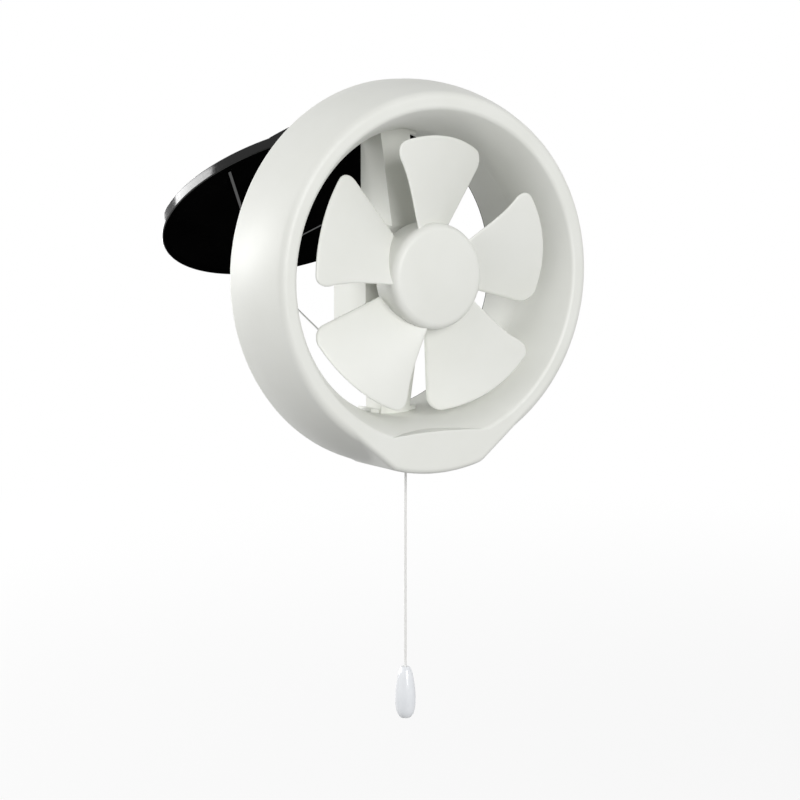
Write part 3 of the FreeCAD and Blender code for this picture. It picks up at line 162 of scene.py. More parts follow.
NODE_FINISH = {
    "front_housing": abs_white, "rear_spigot": abs_white, "motor_column": abs_white,
    "motor_rear_cover": abs_white, "impeller": abs_white, "shutter": styrene_dull,
    "window_gasket": rubber_black, "shutter_seal": rubber_black, "cable_grommet": rubber_black,
    "housing_screws": steel_zinc, "column_screws": steel_zinc, "motor_screws": steel_zinc,
    "motor_shaft": steel_ground, "hinge_pin": steel_ground, "lever_pin": steel_ground,
    "hinge_spring": steel_wire, "return_spring": steel_wire, "stay_eyelet": steel_wire,
    "hinge_bracket": enamel_grey, "front_bearing": bronze, "rear_bearing": bronze,
    "stator_core": laminations, "rotor_core": laminations, "stator_windings": copper,
    "thrust_washers": fibre, "hub_insert": brass, "switch_contacts": brass, "cord_ferrule": brass,
    "switch_body": phenolic, "switch_cover": phenolic, "switch_lever": phenolic, "terminal_block": phenolic,
    "run_capacitor": capacitor_case, "cord_guide": nylon, "pull_handle": styrene_white,
    "pull_cord": nylon, "stay_cord": nylon,
}
for name, finish in NODE_FINISH.items():
    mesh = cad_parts[name].data
    mesh.materials.clear()
    mesh.materials.append(finish)


# Pieces worked out as surfaces, in millimetres with y as the station

FRONT_RADIUS = 129.4
DRUM_RADIUS = 140.1
DRUM_DEPTH = 55.0
SIDE_CURVE_DEPTH = 46.0
MOUTH_RADIUS = 118.9
MOUTH_DEPTH = 46.0
LIP_ROUND = 4.0
DUCT_RADIUS = 104.5
THROAT_END = 48.5
WALL = 2.5
EDGE_ROUND = 4.0
CHIN_RADIUS = 141.3
CHIN_HALF_ANGLE = math.radians(15.5)
PAD_HEIGHT = 110.3
PAD_EDGE_RADIUS = 450.0
PAD_ROUND = 0.9
PAD_REACH = 0.6
PAD_ROUNDS = 12
CHIN_REACH = 1.2
CHIN_CORNER_SOFTNESS = 0.5
CHIN_SIDE_SOFTNESS = 1.2
CHIN_SIDE_SHARE = 0.4
REAR_EDGE = 0.6
CLIMB_EASE = 1.7
INNER_OFFSET = 1.25 * WALL
MOUTH_OFFSET = 1.2 * WALL
HOUSING_STEPS = 520
MERGE_DISTANCE = 1e-6


def mesh_piece(name, points, faces, finish, body, replaced, smooth_deg=40.0):
    """An object from points in (x, station, z) millimetres, smooth but for edges over an angle."""
    place = (np.asarray(points, dtype=np.float64).reshape(-1, 3) - (0.0, PANE, 0.0)) * MM
    mesh = bpy.data.meshes.new(name)
    mesh.from_pydata(place.tolist(), [], faces.tolist())
    shell = bmesh.new()
    shell.from_mesh(mesh)
    bmesh.ops.remove_doubles(shell, verts=shell.verts, dist=MERGE_DISTANCE)
    shell.to_mesh(mesh)
    shell.free()
    mesh.validate()
    mesh.shade_smooth()
    mesh.set_sharp_from_angle(angle=math.radians(smooth_deg))
    mesh.materials.append(finish)
    obj = bpy.data.objects.new(name, mesh)
    bpy.context.collection.objects.link(obj)
    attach(obj, body)
    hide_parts(replaced)
    return obj


def grid_faces(rows, columns, wrap_rows=False, wrap_columns=False):
    """Quads of a grid of points, row by row, closed on itself where asked."""
    row = np.arange(rows if wrap_rows else rows - 1)[:, None]
    column = np.arange(columns if wrap_columns else columns - 1)[None, :]
    below = (row + 1) % rows
    after = (column + 1) % columns
    return np.stack([row * columns + column + 0 * below, row * columns + after + 0 * below,
                     below * columns + after, below * columns + column + 0 * after], axis=-1).reshape(-1, 4)


def arc_rise(depth, rise):
    """Radius of an arc that leaves the axial direction and rises by rise over depth."""
    return (depth**2 + rise**2) / (2.0 * rise)


SIDE_ARC = arc_rise(SIDE_CURVE_DEPTH, DRUM_RADIUS - FRONT_RADIUS)
MOUTH_ARC = arc_rise(MOUTH_DEPTH, MOUTH_RADIUS - DUCT_RADIUS)
LIP_TURN = math.acos((MOUTH_DEPTH - LIP_ROUND) / (MOUTH_ARC - LIP_ROUND))
LIP_CENTRE = DUCT_RADIUS + MOUTH_ARC - (MOUTH_ARC - LIP_ROUND) * math.sin(LIP_TURN)


def drum_side(station):
    """Radius of the drum's side: an arc from the front rim, then straight to the back."""
    ahead = np.clip(SIDE_CURVE_DEPTH - station, 0.0, None)
    return DRUM_RADIUS - SIDE_ARC + np.sqrt(SIDE_ARC**2 - ahead**2)


def mouth_radius_at(station):
    """Radius of the bell mouth: an arc that runs tangent into the duct."""
    ahead = np.clip(MOUTH_DEPTH - station, 0.0, None)
    return DUCT_RADIUS + MOUTH_ARC - np.sqrt(MOUTH_ARC**2 - ahead**2)


def mouth_curve():
    """Radii and stations of the bell mouth, from the duct to the flat front.

    An arc that leaves the duct along it, then the lip's smaller arc, which is tangent to both.
    """
    swing = np.linspace(0.0, 0.5 * np.pi - LIP_TURN, 240)
    over = np.linspace(LIP_TURN, 0.0, 80)[1:]
    bell_radius = DUCT_RADIUS + MOUTH_ARC * (1.0 - np.cos(swing))
    bell_station = MOUTH_DEPTH - MOUTH_ARC * np.sin(swing)
    lip_radius = LIP_CENTRE - LIP_ROUND * np.sin(over)
    lip_station = LIP_ROUND * (1.0 - np.cos(over))
    return np.concatenate([bell_radius, lip_radius]), np.concatenate([bell_station, lip_station])


def chin_outline(angle):
    """Radius of the front outline: the rim's circle, and below it the chin.

    The chin is an arc between two corners, with sides that leave the circle along its tangents. A soft
    minimum of the arc and the tangent line rounds the corners.
    """
    from_low = np.abs((angle + 1.5 * np.pi) % (2.0 * np.pi) - np.pi)
    tangent = CHIN_HALF_ANGLE + math.acos(FRONT_RADIUS / CHIN_RADIUS)
    off = np.clip(tangent - from_low, 0.0, CHIN_REACH)
    side = FRONT_RADIUS / np.cos(off)
    low = np.full_like(angle, CHIN_RADIUS)
    corner = 0.5 * (side + low - np.sqrt((side - low) ** 2 + CHIN_CORNER_SOFTNESS))
    return np.where(from_low < tangent, np.maximum(corner, FRONT_RADIUS), FRONT_RADIUS)


def pad_edge(angle):
    """Radius at which the chin's flat pad ends over the mouth: a shallow arch, within the mouth's rim."""
    from_low = np.abs((angle + 1.5 * np.pi) % (2.0 * np.pi) - np.pi)
    inside = from_low < PAD_REACH
    lean = np.where(inside, from_low, PAD_REACH)
    radius = np.full_like(angle, PAD_HEIGHT)
    for _ in range(PAD_ROUNDS):
        radius = (PAD_HEIGHT + (radius * np.sin(lean)) ** 2 / (2.0 * PAD_EDGE_RADIUS)) / np.cos(lean)
    return np.where(inside, np.minimum(radius, LIP_CENTRE), LIP_CENTRE)


def front_housing_surface():
    """The housing's skin, one closed profile per angle about the axis.

    The profile runs up the duct's throat, along the bell mouth to the pad's edge or over the mouth's lip,
    across the flat front, round the outer edge, back along the side and home on the inside. On the chin the
    side is the larger of the drum's arc and the chin's outline.
    """
    angle = np.linspace(0.0, 2.0 * np.pi, HOUSING_STEPS, endpoint=False)[:, None]
    pad = pad_edge(angle)
    edge = chin_outline(angle)
    curve_radius, curve_station = mouth_curve()
    stride = np.hypot(np.diff(curve_radius), np.diff(curve_station))
    run = np.concatenate([[0.0], np.cumsum(stride)])
    pad_station = np.interp(pad, curve_radius, curve_station)
    radii = []
    stations = []

    def add(radius, station):
        wide = np.broadcast_arrays(radius + 0 * angle, station + 0 * angle)
        radii.append(wide[0])
        stations.append(wide[1])

    add(np.full((1, 2), DUCT_RADIUS), np.array([[THROAT_END, 0.5 * (THROAT_END + MOUTH_DEPTH)]]))
    eased = 1.0 - (1.0 - np.linspace(0.0, 1.0, 40)[None, :]) ** CLIMB_EASE
    climb = np.interp(pad, curve_radius, run) * eased
    add(np.interp(climb, run, curve_radius), np.interp(climb, run, curve_station))
    wall = np.linspace(0.0, 1.0, 5)[None, 1:]
    short = np.minimum(PAD_ROUND, pad_station)
    add(pad, pad_station + (short - pad_station) * wall)
    turn = np.linspace(0.0, 0.5 * np.pi, 6)[None, 1:]
    add(pad + short * (1.0 - np.cos(turn)), short * (1.0 - np.sin(turn)))
    flat = np.linspace(0.0, 1.0, 22)[None, 1:-1]
    inner_flat = pad + short
    outer_flat = edge - EDGE_ROUND
    add(inner_flat + (outer_flat - inner_flat) * flat, np.zeros((1, 20)))
    bend = np.linspace(0.0, 0.5 * np.pi, 9)[None, :]
    steps = np.concatenate([
        EDGE_ROUND * (1.0 - np.cos(bend)),
        np.linspace(EDGE_ROUND, SIDE_CURVE_DEPTH, 26)[None, 1:],
        np.linspace(SIDE_CURVE_DEPTH, DRUM_DEPTH - REAR_EDGE, 6)[None, 1:],
    ], axis=1)
    turned = drum_side(steps)
    soft = np.minimum(CHIN_SIDE_SOFTNESS, CHIN_SIDE_SHARE * (edge - FRONT_RADIUS))
    outer = 0.5 * (turned + edge + np.sqrt((turned - edge) ** 2 + soft**2))
    rounding = EDGE_ROUND - np.sqrt(EDGE_ROUND**2 - np.clip(EDGE_ROUND - steps, 0.0, None) ** 2)
    add(outer - rounding, steps)
    rear_inset = np.array([[0.2, 0.8, WALL]])
    add(outer[:, -1:] - rear_inset, np.array([[DRUM_DEPTH - 0.2, DRUM_DEPTH, DRUM_DEPTH]]))
    home = np.linspace(SIDE_CURVE_DEPTH, WALL, 12)[None, :]
    turned_home = drum_side(home)
    add(0.5 * (turned_home + edge + np.sqrt((turned_home - edge) ** 2 + soft**2)) - INNER_OFFSET, home)
    behind = np.linspace(WALL, MOUTH_DEPTH, 14)[None, :]
    add(np.maximum(mouth_radius_at(behind) + MOUTH_OFFSET, DUCT_RADIUS + WALL), behind)
    add(np.full((1, 1), DUCT_RADIUS + WALL), np.array([[THROAT_END]]))
    radius = np.concatenate(radii, axis=1)
    station = np.concatenate(stations, axis=1)
    points = np.stack([radius * np.cos(angle), station, radius * np.sin(angle)], axis=-1)
    faces = grid_faces(radius.shape[0], radius.shape[1], True, True)
    return points, faces


housing_points, housing_faces = front_housing_surface()
mesh_piece("front_housing_skin", housing_points, housing_faces, abs_white, "housing", "front_housing", 30.0)

TIP_RADIUS = 100.0
HUB_RADIUS = 38.1
HUB_DEPTH = 26.0
HUB_DOME = 1.4
HUB_ROUND = 6.0
HUB_WALL = 2.5
HUB_FLOOR = 4.0
HUB_EDGE = 0.5
BOSS_RADIUS = 8.0
BOSS_END = 20.5
BORE_RADIUS = 3.1
BORE_FRONT = 7.7
LEAD_ANGLE = math.radians(28.0)
LEAD_WAIST_ANGLE = math.radians(23.4)
LEAD_TIP_ANGLE = math.radians(25.6)
TRAIL_ANGLE = math.radians(29.0)
BLADE_COUNT = 5
BLADE_SUNK = 1.5
BLADE_FRONT = 4.5
BLADE_DEPTH_ROOT = 18.9
BLADE_DEPTH_TIP = 20.0
CAMBER_ROOT = 1.15
CAMBER_TIP = 2.2
BLADE_THICK = 2.0
TIP_ROUND = 12.0
FIRST_BLADE = math.radians(86.0)


def lead_edge(radius):
    """Angle of the hollow leading edge: a parabola through the root's, waist's and tip's angles."""
    out = (radius - HUB_RADIUS) / (TIP_RADIUS - HUB_RADIUS)
    root_part = (1.0 - out) * (1.0 - 2.0 * out)
    waist_part = 4.0 * out * (1.0 - out)
    tip_part = out * (2.0 * out - 1.0)
    return LEAD_ANGLE * root_part + LEAD_WAIST_ANGLE * waist_part + LEAD_TIP_ANGLE * tip_part


def blade_surface(middle):
    """One blade: a front and a back sheet that meet at rounded edges.

    Rows run along the radius and columns along the chord. The leading edge is hollow, and near the tip the
    chord draws in along a quarter circle at each corner. The depth grows with a power of the share of the
    chord, a power that itself grows from root to tip, and the half thickness falls to nothing on a quarter
    circle at every edge.
    """
    fall = (1.0 - np.cos(np.linspace(0.0, 0.5 * np.pi, 40)))[::-1][:, None]
    inset = fall * (TIP_RADIUS - HUB_RADIUS + BLADE_SUNK)
    radius = TIP_RADIUS - inset
    drawn = TIP_ROUND - np.sqrt(TIP_ROUND**2 - np.clip(TIP_ROUND - inset, 0.0, None) ** 2)
    share = 0.5 - 0.5 * np.cos(np.linspace(0.0, np.pi, 56))[None, :]
    lead = middle + lead_edge(radius) - drawn / radius
    trail = middle - TRAIL_ANGLE + drawn / radius
    angle = lead + (trail - lead) * share
    chord = (middle + LEAD_ANGLE - angle) / (LEAD_ANGLE + TRAIL_ANGLE)
    along = (radius - HUB_RADIUS) / (TIP_RADIUS - HUB_RADIUS)
    depth = BLADE_DEPTH_ROOT + (BLADE_DEPTH_TIP - BLADE_DEPTH_ROOT) * along
    camber = CAMBER_ROOT + (CAMBER_TIP - CAMBER_ROOT) * along
    station = BLADE_FRONT + 0.5 * BLADE_THICK + depth * np.clip(chord, 0.0, 1.0) ** camber
    width = (lead - trail) * radius
    from_edge = np.minimum(np.minimum(share, 1.0 - share) * width, inset + 0.0 * share)
    reach = np.clip(from_edge / BLADE_THICK, 0.0, 1.0)
    half = 0.5 * BLADE_THICK * np.sqrt(1.0 - (1.0 - reach) ** 2)
    sheets = []
    for sign in (-1.0, 1.0):
        sheets.append(np.stack([
            radius * np.cos(angle), station + sign * half, radius * np.sin(angle)], axis=-1))
    rows, columns = angle.shape
    front = grid_faces(rows, columns)
    back = front[:, ::-1] + rows * columns
    return np.concatenate([sheet.reshape(-1, 3) for sheet in sheets]), np.concatenate([front, back])


def turned_surface(profile, count):
    """A (radius, station) profile from axis to axis, turned about the fan's axis."""
    angle = np.linspace(0.0, 2.0 * np.pi, count, endpoint=False)[:, None]
    profile = np.asarray(profile)
    radius = profile[None, :, 0]
    station = profile[None, :, 1] + 0.0 * angle
    points = np.stack([radius * np.cos(angle), station, radius * np.sin(angle)], axis=-1)
    return points.reshape(-1, 3), grid_faces(count, profile.shape[0], True, False)


def hub_profile():
    """Domed front, rounded edge, straight side, and a cup with a boss behind."""
    across = np.linspace(0.0, HUB_RADIUS - HUB_ROUND, 16)
    dome = HUB_DOME * (across / across[-1]) ** 2
    bend = np.linspace(0.0, 0.5 * np.pi, 9)[1:]
    edge = np.stack([HUB_RADIUS - HUB_ROUND + HUB_ROUND * np.sin(bend),
                     HUB_DOME + HUB_ROUND * (1.0 - np.cos(bend))], axis=1)
    inside = [(HUB_RADIUS, HUB_DEPTH - HUB_EDGE), (HUB_RADIUS - HUB_EDGE, HUB_DEPTH),
              (HUB_RADIUS - HUB_WALL, HUB_DEPTH), (HUB_RADIUS - HUB_WALL, HUB_FLOOR),
              (BOSS_RADIUS, HUB_FLOOR), (BOSS_RADIUS, BOSS_END), (BORE_RADIUS, BOSS_END),
              (BORE_RADIUS, BORE_FRONT), (0.0, BORE_FRONT)]
    return np.concatenate([np.stack([across, dome], axis=1), edge, np.array(inside)])


def impeller_surface():
    """The hub and its five blades in one mesh."""
    points, faces = turned_surface(hub_profile(), 160)
    points = [points]
    faces = [faces]
    total = len(points[0])
    for number in range(BLADE_COUNT):
        blade_points, blade_faces = blade_surface(FIRST_BLADE + number * 2.0 * math.pi / BLADE_COUNT)
        points.append(blade_points)
        faces.append(blade_faces + total)
        total += len(blade_points)
    return np.concatenate(points), np.concatenate(faces)


impeller_points, impeller_faces = impeller_surface()
mesh_piece("impeller_moulding", impeller_points, impeller_faces, abs_white, "impeller", "impeller", 50.0)

SHUTTER_RADIUS = 113.8
SHUTTER_OPEN = math.radians(58.1)
HINGE_STATION = 98.4
HINGE_HEIGHT = 113.8
PLATE_FRONT = 89.4
PLATE_REAR = 91.6
RIM_BAND = 1.0
RIB_MARGIN = 4.0
FACE_SLACK = 0.1


def shutter_moulding():
    """The shutter's own shape with two finishes: polished rim, ribs and outer face, and a dull inner face.

    Each face's middle is turned back to the closed place about the hinge line. A face within RIM_BAND of the
    rim's radius, behind the plate, or before it and clear of the rim takes the polished finish. Only the rim
    is shaded smooth, because the other faces are flat.
    """
    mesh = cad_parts["shutter"].data.copy()
    mesh.name = "shutter_moulding"
    obj = bpy.data.objects.new("shutter_moulding", mesh)
    bpy.context.collection.objects.link(obj)
    shell = bmesh.new()
    shell.from_mesh(mesh)
    bmesh.ops.remove_doubles(shell, verts=shell.verts, dist=MERGE_DISTANCE)
    shell.to_mesh(mesh)
    shell.free()
    middles = np.empty(3 * len(mesh.polygons))
    mesh.polygons.foreach_get("center", middles)
    middles = middles.reshape(-1, 3)
    outdoors = middles[:, 1] / MM + PANE - HINGE_STATION
    height = middles[:, 2] / MM - HINGE_HEIGHT
    closed_height = HINGE_HEIGHT + height * math.cos(SHUTTER_OPEN) - outdoors * math.sin(SHUTTER_OPEN)
    closed_station = HINGE_STATION + outdoors * math.cos(SHUTTER_OPEN) + height * math.sin(SHUTTER_OPEN)
    away = np.hypot(middles[:, 0] / MM, closed_height)
    rim = away > SHUTTER_RADIUS - RIM_BAND
    rib = (closed_station < PLATE_FRONT - FACE_SLACK) & (away < SHUTTER_RADIUS - RIB_MARGIN)
    polished = rim | (closed_station > PLATE_REAR - FACE_SLACK) | rib
    mesh.materials.append(styrene_gloss)
    mesh.polygons.foreach_set("material_index", polished.astype(np.int32))
    mesh.set_sharp_from_angle(angle=math.radians(30.0))
    mesh.polygons.foreach_set("use_smooth", rim)
    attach(obj, "shutter")
    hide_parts("shutter")


shutter_moulding()


def twisted_cord_finish(name, colour, dark, strands, lay_mm):
    """Twisted textured nylon: soft, matt, with the strands' shading from the tube's own UV map."""
    material = bpy.data.materials.new(name)
    material.use_nodes = True
    tree = material.node_tree
    tree.nodes.clear()
    around = add_node(tree, "ShaderNodeUVMap", {"uv_map": "strand"}).outputs["UV"]
    fuzz = add_node(tree, "ShaderNodeTexNoise", None, {"Vector": around}, Scale=lay_mm * strands, Detail=3.0)
    tone = add_node(tree, "ShaderNodeValToRGB", None, {"Fac": fuzz.outputs["Fac"]})
    tone.color_ramp.elements[0].position = 0.3
    tone.color_ramp.elements[1].position = 0.7
    tone.color_ramp.elements[0].color = hex_colour(dark)
    tone.color_ramp.elements[1].color = hex_colour(colour)
    relief = add_node(tree, "ShaderNodeBump", None, {"Height": fuzz.outputs["Fac"]}, Strength=0.4,
                      Distance=0.05 * MM)
    shader = add_node(tree, "ShaderNodeBsdfPrincipled", None, {
        "Base Color": tone.outputs["Color"], "Normal": relief.outputs["Normal"],
    }, Roughness=0.75, Sheen_Weight=0.25)
    add_node(tree, "ShaderNodeOutputMaterial", None, {"Surface": shader.outputs["BSDF"]})
    return material


# White twisted nylon cord, and a thinner grey one for the stay
cord_white = twisted_cord_finish("twisted_white_nylon", "#f4f4f2", "#e6e6e3", 3, 4.0)
cord_grey = twisted_cord_finish("twisted_grey_nylon", "#e8e8e5", "#d6d6d2", 3, 3.0)


def route_line(name, route):
    """Points along the smooth line of a route, in metres."""
    curve = bpy.data.curves.new(name, "CURVE")
    curve.dimensions = "3D"
    curve.resolution_u = 40
    spline = curve.splines.new("NURBS")
    spline.points.add(len(route) - 1)
    spline.points.foreach_set("co", np.column_stack([route, np.ones(len(route))]).ravel())
    spline.order_u = 3
    spline.use_endpoint_u = True
    carrier = bpy.data.objects.new(name, curve)
    bpy.context.collection.objects.link(carrier)
    sampled = bpy.data.meshes.new_from_object(carrier)
    line = np.empty(len(sampled.vertices) * 3)
    sampled.vertices.foreach_get("co", line)
    bpy.data.objects.remove(carrier)
    bpy.data.meshes.remove(sampled)
    return line.reshape(-1, 3)


CORD_RING = 24
STEPS_PER_LAY = 10
LOBE_SHARE = 0.14


def twisted_tube(name, route, radius_mm, lay_mm, finish):
    """A cord of three strands along a route.

    The section is three lobes, r = radius * (1 - LOBE_SHARE + LOBE_SHARE * |cos(1.5 * turn)|), which turns
    once per lay_mm.
    """
    line = route_line(name + "_line", route)
    length = np.linalg.norm(line[-1] - line[0])
    heading = (line[-1] - line[0]) / length
    steps = max(int(length / (lay_mm * MM) * STEPS_PER_LAY), 40)
    share = np.linspace(0.0, 1.0, steps)
    whole = np.linspace(0.0, 1.0, len(line))
    centre = np.stack([np.interp(share, whole, line[:, axis]) for axis in range(3)], axis=1)
    side = np.cross(heading, (1.0, 0.0, 0.0))
    side = side / np.linalg.norm(side)
    other = np.cross(heading, side)
    turn = np.linspace(0.0, 2.0 * np.pi, CORD_RING, endpoint=False)[None, :]
    twist = 2.0 * np.pi * share[:, None] * length / (lay_mm * MM)
    lobes = np.abs(np.cos(1.5 * (turn - twist)))
    radius = radius_mm * MM * (1.0 - LOBE_SHARE + LOBE_SHARE * lobes)
    ring = radius[..., None] * (np.cos(turn)[..., None] * side + np.sin(turn)[..., None] * other)
    points = (centre[:, None, :] + ring).reshape(-1, 3)
    faces = grid_faces(steps, CORD_RING, False, True)
    caps = [list(range(CORD_RING - 1, -1, -1)), list(range((steps - 1) * CORD_RING, steps * CORD_RING))]
    mesh = bpy.data.meshes.new(name)
    mesh.from_pydata(points.tolist(), [], faces[:, ::-1].tolist() + [cap[::-1] for cap in caps])
    mesh.validate()
    mesh.shade_smooth()
    strand = mesh.uv_layers.new(name="strand")
    corner = np.empty(len(mesh.loops), dtype=np.int64)
    mesh.loops.foreach_get("vertex_index", corner)
    across = (corner % CORD_RING) / CORD_RING
    along = (corner // CORD_RING) / (steps - 1.0) * length / (lay_mm * MM)
    flat = np.stack([across, along], axis=1)
    strand.data.foreach_set("uv", flat.ravel())
    mesh.materials.append(finish)
    obj = bpy.data.objects.new(name, mesh)
    bpy.context.collection.objects.link(obj)
    return obj, line


PULL_TOP = -113.7
PULL_LOW = -293.0
PULL_STATION = 45.5
PULL_RADIUS = 1.0
PULL_LAY = 6.0
pull_levels = np.linspace(PULL_TOP, PULL_LOW, 4)
pull_route = np.array([(0.0, PULL_STATION - PANE, level) for level in pull_levels]) * MM
pull_tube, pull_line = twisted_tube("pull_cord_twist", pull_route, PULL_RADIUS, PULL_LAY, cord_white)
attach(pull_tube, "pull")
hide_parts("pull_cord")

STAY_LOW = (0.0, 86.15, -86.79)
STAY_HIGH = (0.0, 269.12, -8.95)
STAY_RADIUS = 0.7
STAY_LAY = 4.0
stay_route = (np.linspace(STAY_LOW, STAY_HIGH, 4) - (0.0, PANE, 0.0)) * MM
stay_tube, stay_line = twisted_tube("stay_cord_twist", stay_route, STAY_RADIUS, STAY_LAY, cord_grey)
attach(stay_tube, "housing")
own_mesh(stay_tube)
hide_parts("stay_cord")


WIRE_RING = 12
STEPS_PER_TURN = 28
CLOSE_PITCH = 1.04


def wound_wire(name, replaced, start, end, mean_mm, wire_mm, turns):
    """A coil spring between two points, in (x, station, z) millimetres.

    The wire's centre is a helix, and a round section stands square to it. The first and last turns lie
    close, CLOSE_PITCH wires apart, and the pitch is even between them.
    """
    begin = (np.array(start) - (0.0, PANE, 0.0)) * MM
    finish = (np.array(end) - (0.0, PANE, 0.0)) * MM
    length = np.linalg.norm(finish - begin)
    axis = (finish - begin) / length
    side = np.cross(axis, (0.0, 1.0, 0.0))
    side = side / np.linalg.norm(side)
    other = np.cross(axis, side)
    share = np.linspace(0.0, 1.0, int(turns * STEPS_PER_TURN))[:, None]
    turn = 2.0 * np.pi * turns * share
    wire = wire_mm * MM
    dead = 1.0 / turns
    open_part = np.clip((share - dead) / (1.0 - 2.0 * dead), 0.0, 1.0)
    close_part = np.clip(share / dead, 0.0, 1.0) + np.clip((share - 1.0 + dead) / dead, 0.0, 1.0)
    open_length = length - (1.0 + 2.0 * CLOSE_PITCH) * wire
    along = 0.5 * wire + CLOSE_PITCH * wire * close_part + open_length * open_part
    outward = np.cos(turn) * side + np.sin(turn) * other
    centre = begin + along * axis + mean_mm * MM * outward
    heading = np.gradient(centre, axis=0)
    heading = heading / np.linalg.norm(heading, axis=1, keepdims=True)
    rise = np.cross(heading, outward)
    ring = np.linspace(0.0, 2.0 * np.pi, WIRE_RING, endpoint=False)[None, :, None]
    section = np.cos(ring) * outward[:, None, :] + np.sin(ring) * rise[:, None, :]
    points = (centre[:, None, :] + 0.5 * wire * section).reshape(-1, 3)
    count = len(share)
    faces = grid_faces(count, WIRE_RING, False, True)
    ends = [list(range(WIRE_RING - 1, -1, -1)), list(range((count - 1) * WIRE_RING, count * WIRE_RING))]
    mesh = bpy.data.meshes.new(name)
    mesh.from_pydata(points.tolist(), [], faces.tolist() + ends)
    mesh.validate()
    mesh.shade_smooth()
    mesh.materials.append(steel_wire)
    obj = bpy.data.objects.new(name, mesh)
    bpy.context.collection.objects.link(obj)
    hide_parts(replaced)
    return obj


HINGE_COIL_HALF = 8.0
hinge_coil = wound_wire("hinge_spring_wire", "hinge_spring", (-HINGE_COIL_HALF, HINGE_STATION, HINGE_HEIGHT),
                        (HINGE_COIL_HALF, HINGE_STATION, HINGE_HEIGHT), mean_mm=2.75, wire_mm=0.9, turns=14)
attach(hinge_coil, "housing")
RETURN_SIDE = -8.0
RETURN_LOW = -130.6
RETURN_HIGH = -119.3
return_coil = wound_wire("return_spring_wire", "return_spring", (RETURN_SIDE, PULL_STATION, RETURN_LOW),
                         (RETURN_SIDE, PULL_STATION, RETURN_HIGH), mean_mm=2.2, wire_mm=0.6, turns=8)
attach(return_coil, "housing")
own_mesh(return_coil)


# Camera, floor and light

camera_data = bpy.data.cameras.new("view")
camera_data.sensor_width = 36.0
camera_data.lens = 98.73
camera = bpy.data.objects.new("view", camera_data)
bpy.context.collection.objects.link(camera)
camera.location = (-0.873224, -1.345326, 0.117781)
look = Vector((0.54118245, 0.83061977, -0.13111959))
camera.rotation_euler = look.to_track_quat("-Z", "Y").to_euler()
bpy.context.scene.camera = camera


def lamp(name, place, target, power, width, height, tilt=0.0):
    """A soft rectangular studio light that faces a target, turned in its own plane by tilt degrees."""
    data = bpy.data.lights.new(name, "AREA")
    data.shape = "RECTANGLE"
    data.size = width
    data.size_y = height
    data.energy = power
    obj = bpy.data.objects.new(name, data)
    obj.location = place
    facing = (Vector(target) - Vector(place)).to_track_quat("-Z", "Y")
    obj.rotation_euler = (facing @ Quaternion((0.0, 0.0, 1.0), math.radians(tilt))).to_euler()
    bpy.context.collection.objects.link(obj)


FAN_MIDDLE = (0.0, 0.0, 0.0)
lamp("left_strip", (-1.8, 1.46, 0.37), FAN_MIDDLE, power=36.0, width=1.7, height=0.4, tilt=27.0)
lamp("front_fill", (-0.3, -2.5, 0.5), FAN_MIDDLE, power=43.0, width=1.4, height=1.4)
lamp("back_glow", (0.2, 2.4, -0.2), FAN_MIDDLE, power=30.0, width=1.4, height=1.4)

world = bpy.data.worlds.new("studio")
bpy.context.scene.world = world
world.use_nodes = True
sky = world.node_tree
sky.nodes.clear()


def seen_directly(tree):
    """1 for rays from the camera, from gloss and through glass, else 0."""
    ray = add_node(tree, "ShaderNodeLightPath")
    first = add_node(tree, "ShaderNodeMath", {"operation": "MAXIMUM"}, {
        0: ray.outputs["Is Camera Ray"], 1: ray.outputs["Is Glossy Ray"]})
    return add_node(tree, "ShaderNodeMath", {"operation": "MAXIMUM"}, {
        0: first.outputs["Value"], 1: ray.outputs["Is Transmission Ray"]})


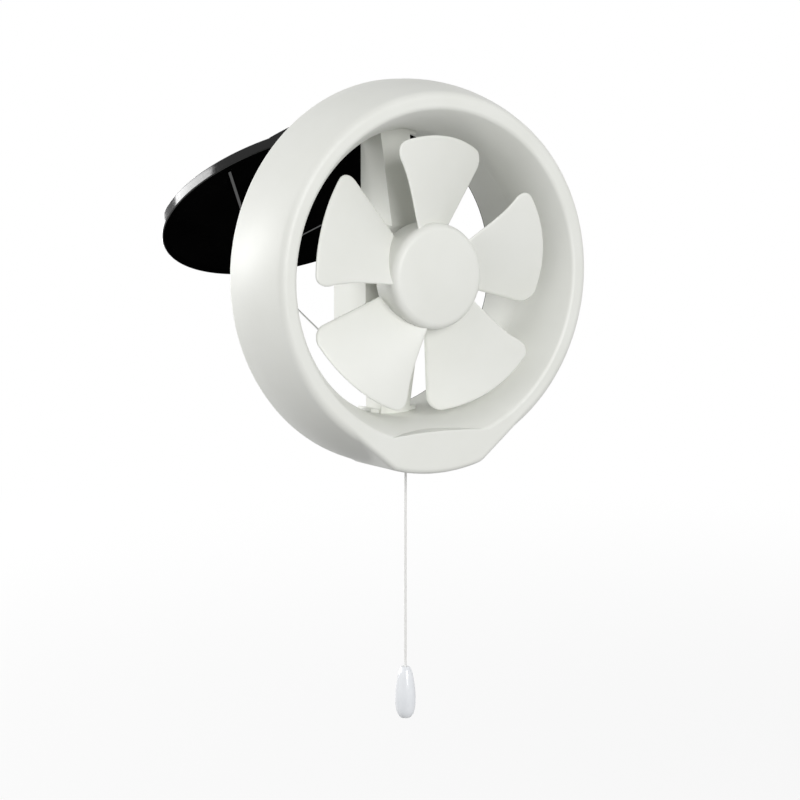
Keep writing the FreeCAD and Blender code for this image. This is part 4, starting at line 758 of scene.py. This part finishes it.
seen = seen_directly(sky)
fill = add_node(sky, "ShaderNodeBackground", Color=(1.0, 1.0, 1.0, 1.0), Strength=0.4)
white = add_node(sky, "ShaderNodeBackground", Color=(1.0, 1.0, 1.0, 1.0), Strength=1.0)
both = add_node(sky, "ShaderNodeMixShader", None, {"Fac": seen.outputs["Value"]})
sky.links.new(fill.outputs["Background"], both.inputs[1])
sky.links.new(white.outputs["Background"], both.inputs[2])
add_node(sky, "ShaderNodeOutputWorld", None, {"Surface": both.outputs["Shader"]})

FLOOR_LEVEL = -0.52
FLOOR_SPAN = 6.0
floor_mesh = bpy.data.meshes.new("floor")
floor_sides = ((-1, -1), (1, -1), (1, 1), (-1, 1))
floor_corners = [(FLOOR_SPAN * x, FLOOR_SPAN * y, FLOOR_LEVEL) for x, y in floor_sides]
floor_mesh.from_pydata(floor_corners, [], [(0, 1, 2, 3)])
floor = bpy.data.objects.new("floor", floor_mesh)
bpy.context.collection.objects.link(floor)
floor_paint = bpy.data.materials.new("pale_floor")
floor_paint.use_nodes = True
paint = floor_paint.node_tree
paint.nodes.clear()
direct = seen_directly(paint)
tint = add_node(paint, "ShaderNodeMapRange", None, {"Value": direct.outputs["Value"]}, To_Min=0.3,
                To_Max=0.85)
diffuse = add_node(paint, "ShaderNodeBsdfDiffuse", None, {"Color": tint.outputs["Result"]})
glow = add_node(paint, "ShaderNodeEmission", Color=(1.0, 1.0, 1.0, 1.0), Strength=1.0)
spot = add_node(paint, "ShaderNodeTexCoord")
away = add_node(paint, "ShaderNodeVectorMath", {"operation": "LENGTH"}, {0: spot.outputs["Object"]})
fade = add_node(paint, "ShaderNodeMapRange", {"interpolation_type": "SMOOTHSTEP"},
                {"Value": away.outputs["Value"]}, From_Min=0.7, From_Max=2.2, To_Min=0.82, To_Max=1.0)
share = add_node(paint, "ShaderNodeMath", {"operation": "MULTIPLY"}, {
    0: direct.outputs["Value"], 1: fade.outputs["Result"]})
blend = add_node(paint, "ShaderNodeMixShader", None, {"Fac": share.outputs["Value"]})
paint.links.new(diffuse.outputs["BSDF"], blend.inputs[1])
paint.links.new(glow.outputs["Emission"], blend.inputs[2])
add_node(paint, "ShaderNodeOutputMaterial", None, {"Surface": blend.outputs["Shader"]})
floor_mesh.materials.append(floor_paint)

bpy.context.scene.view_settings.view_transform = "Standard"
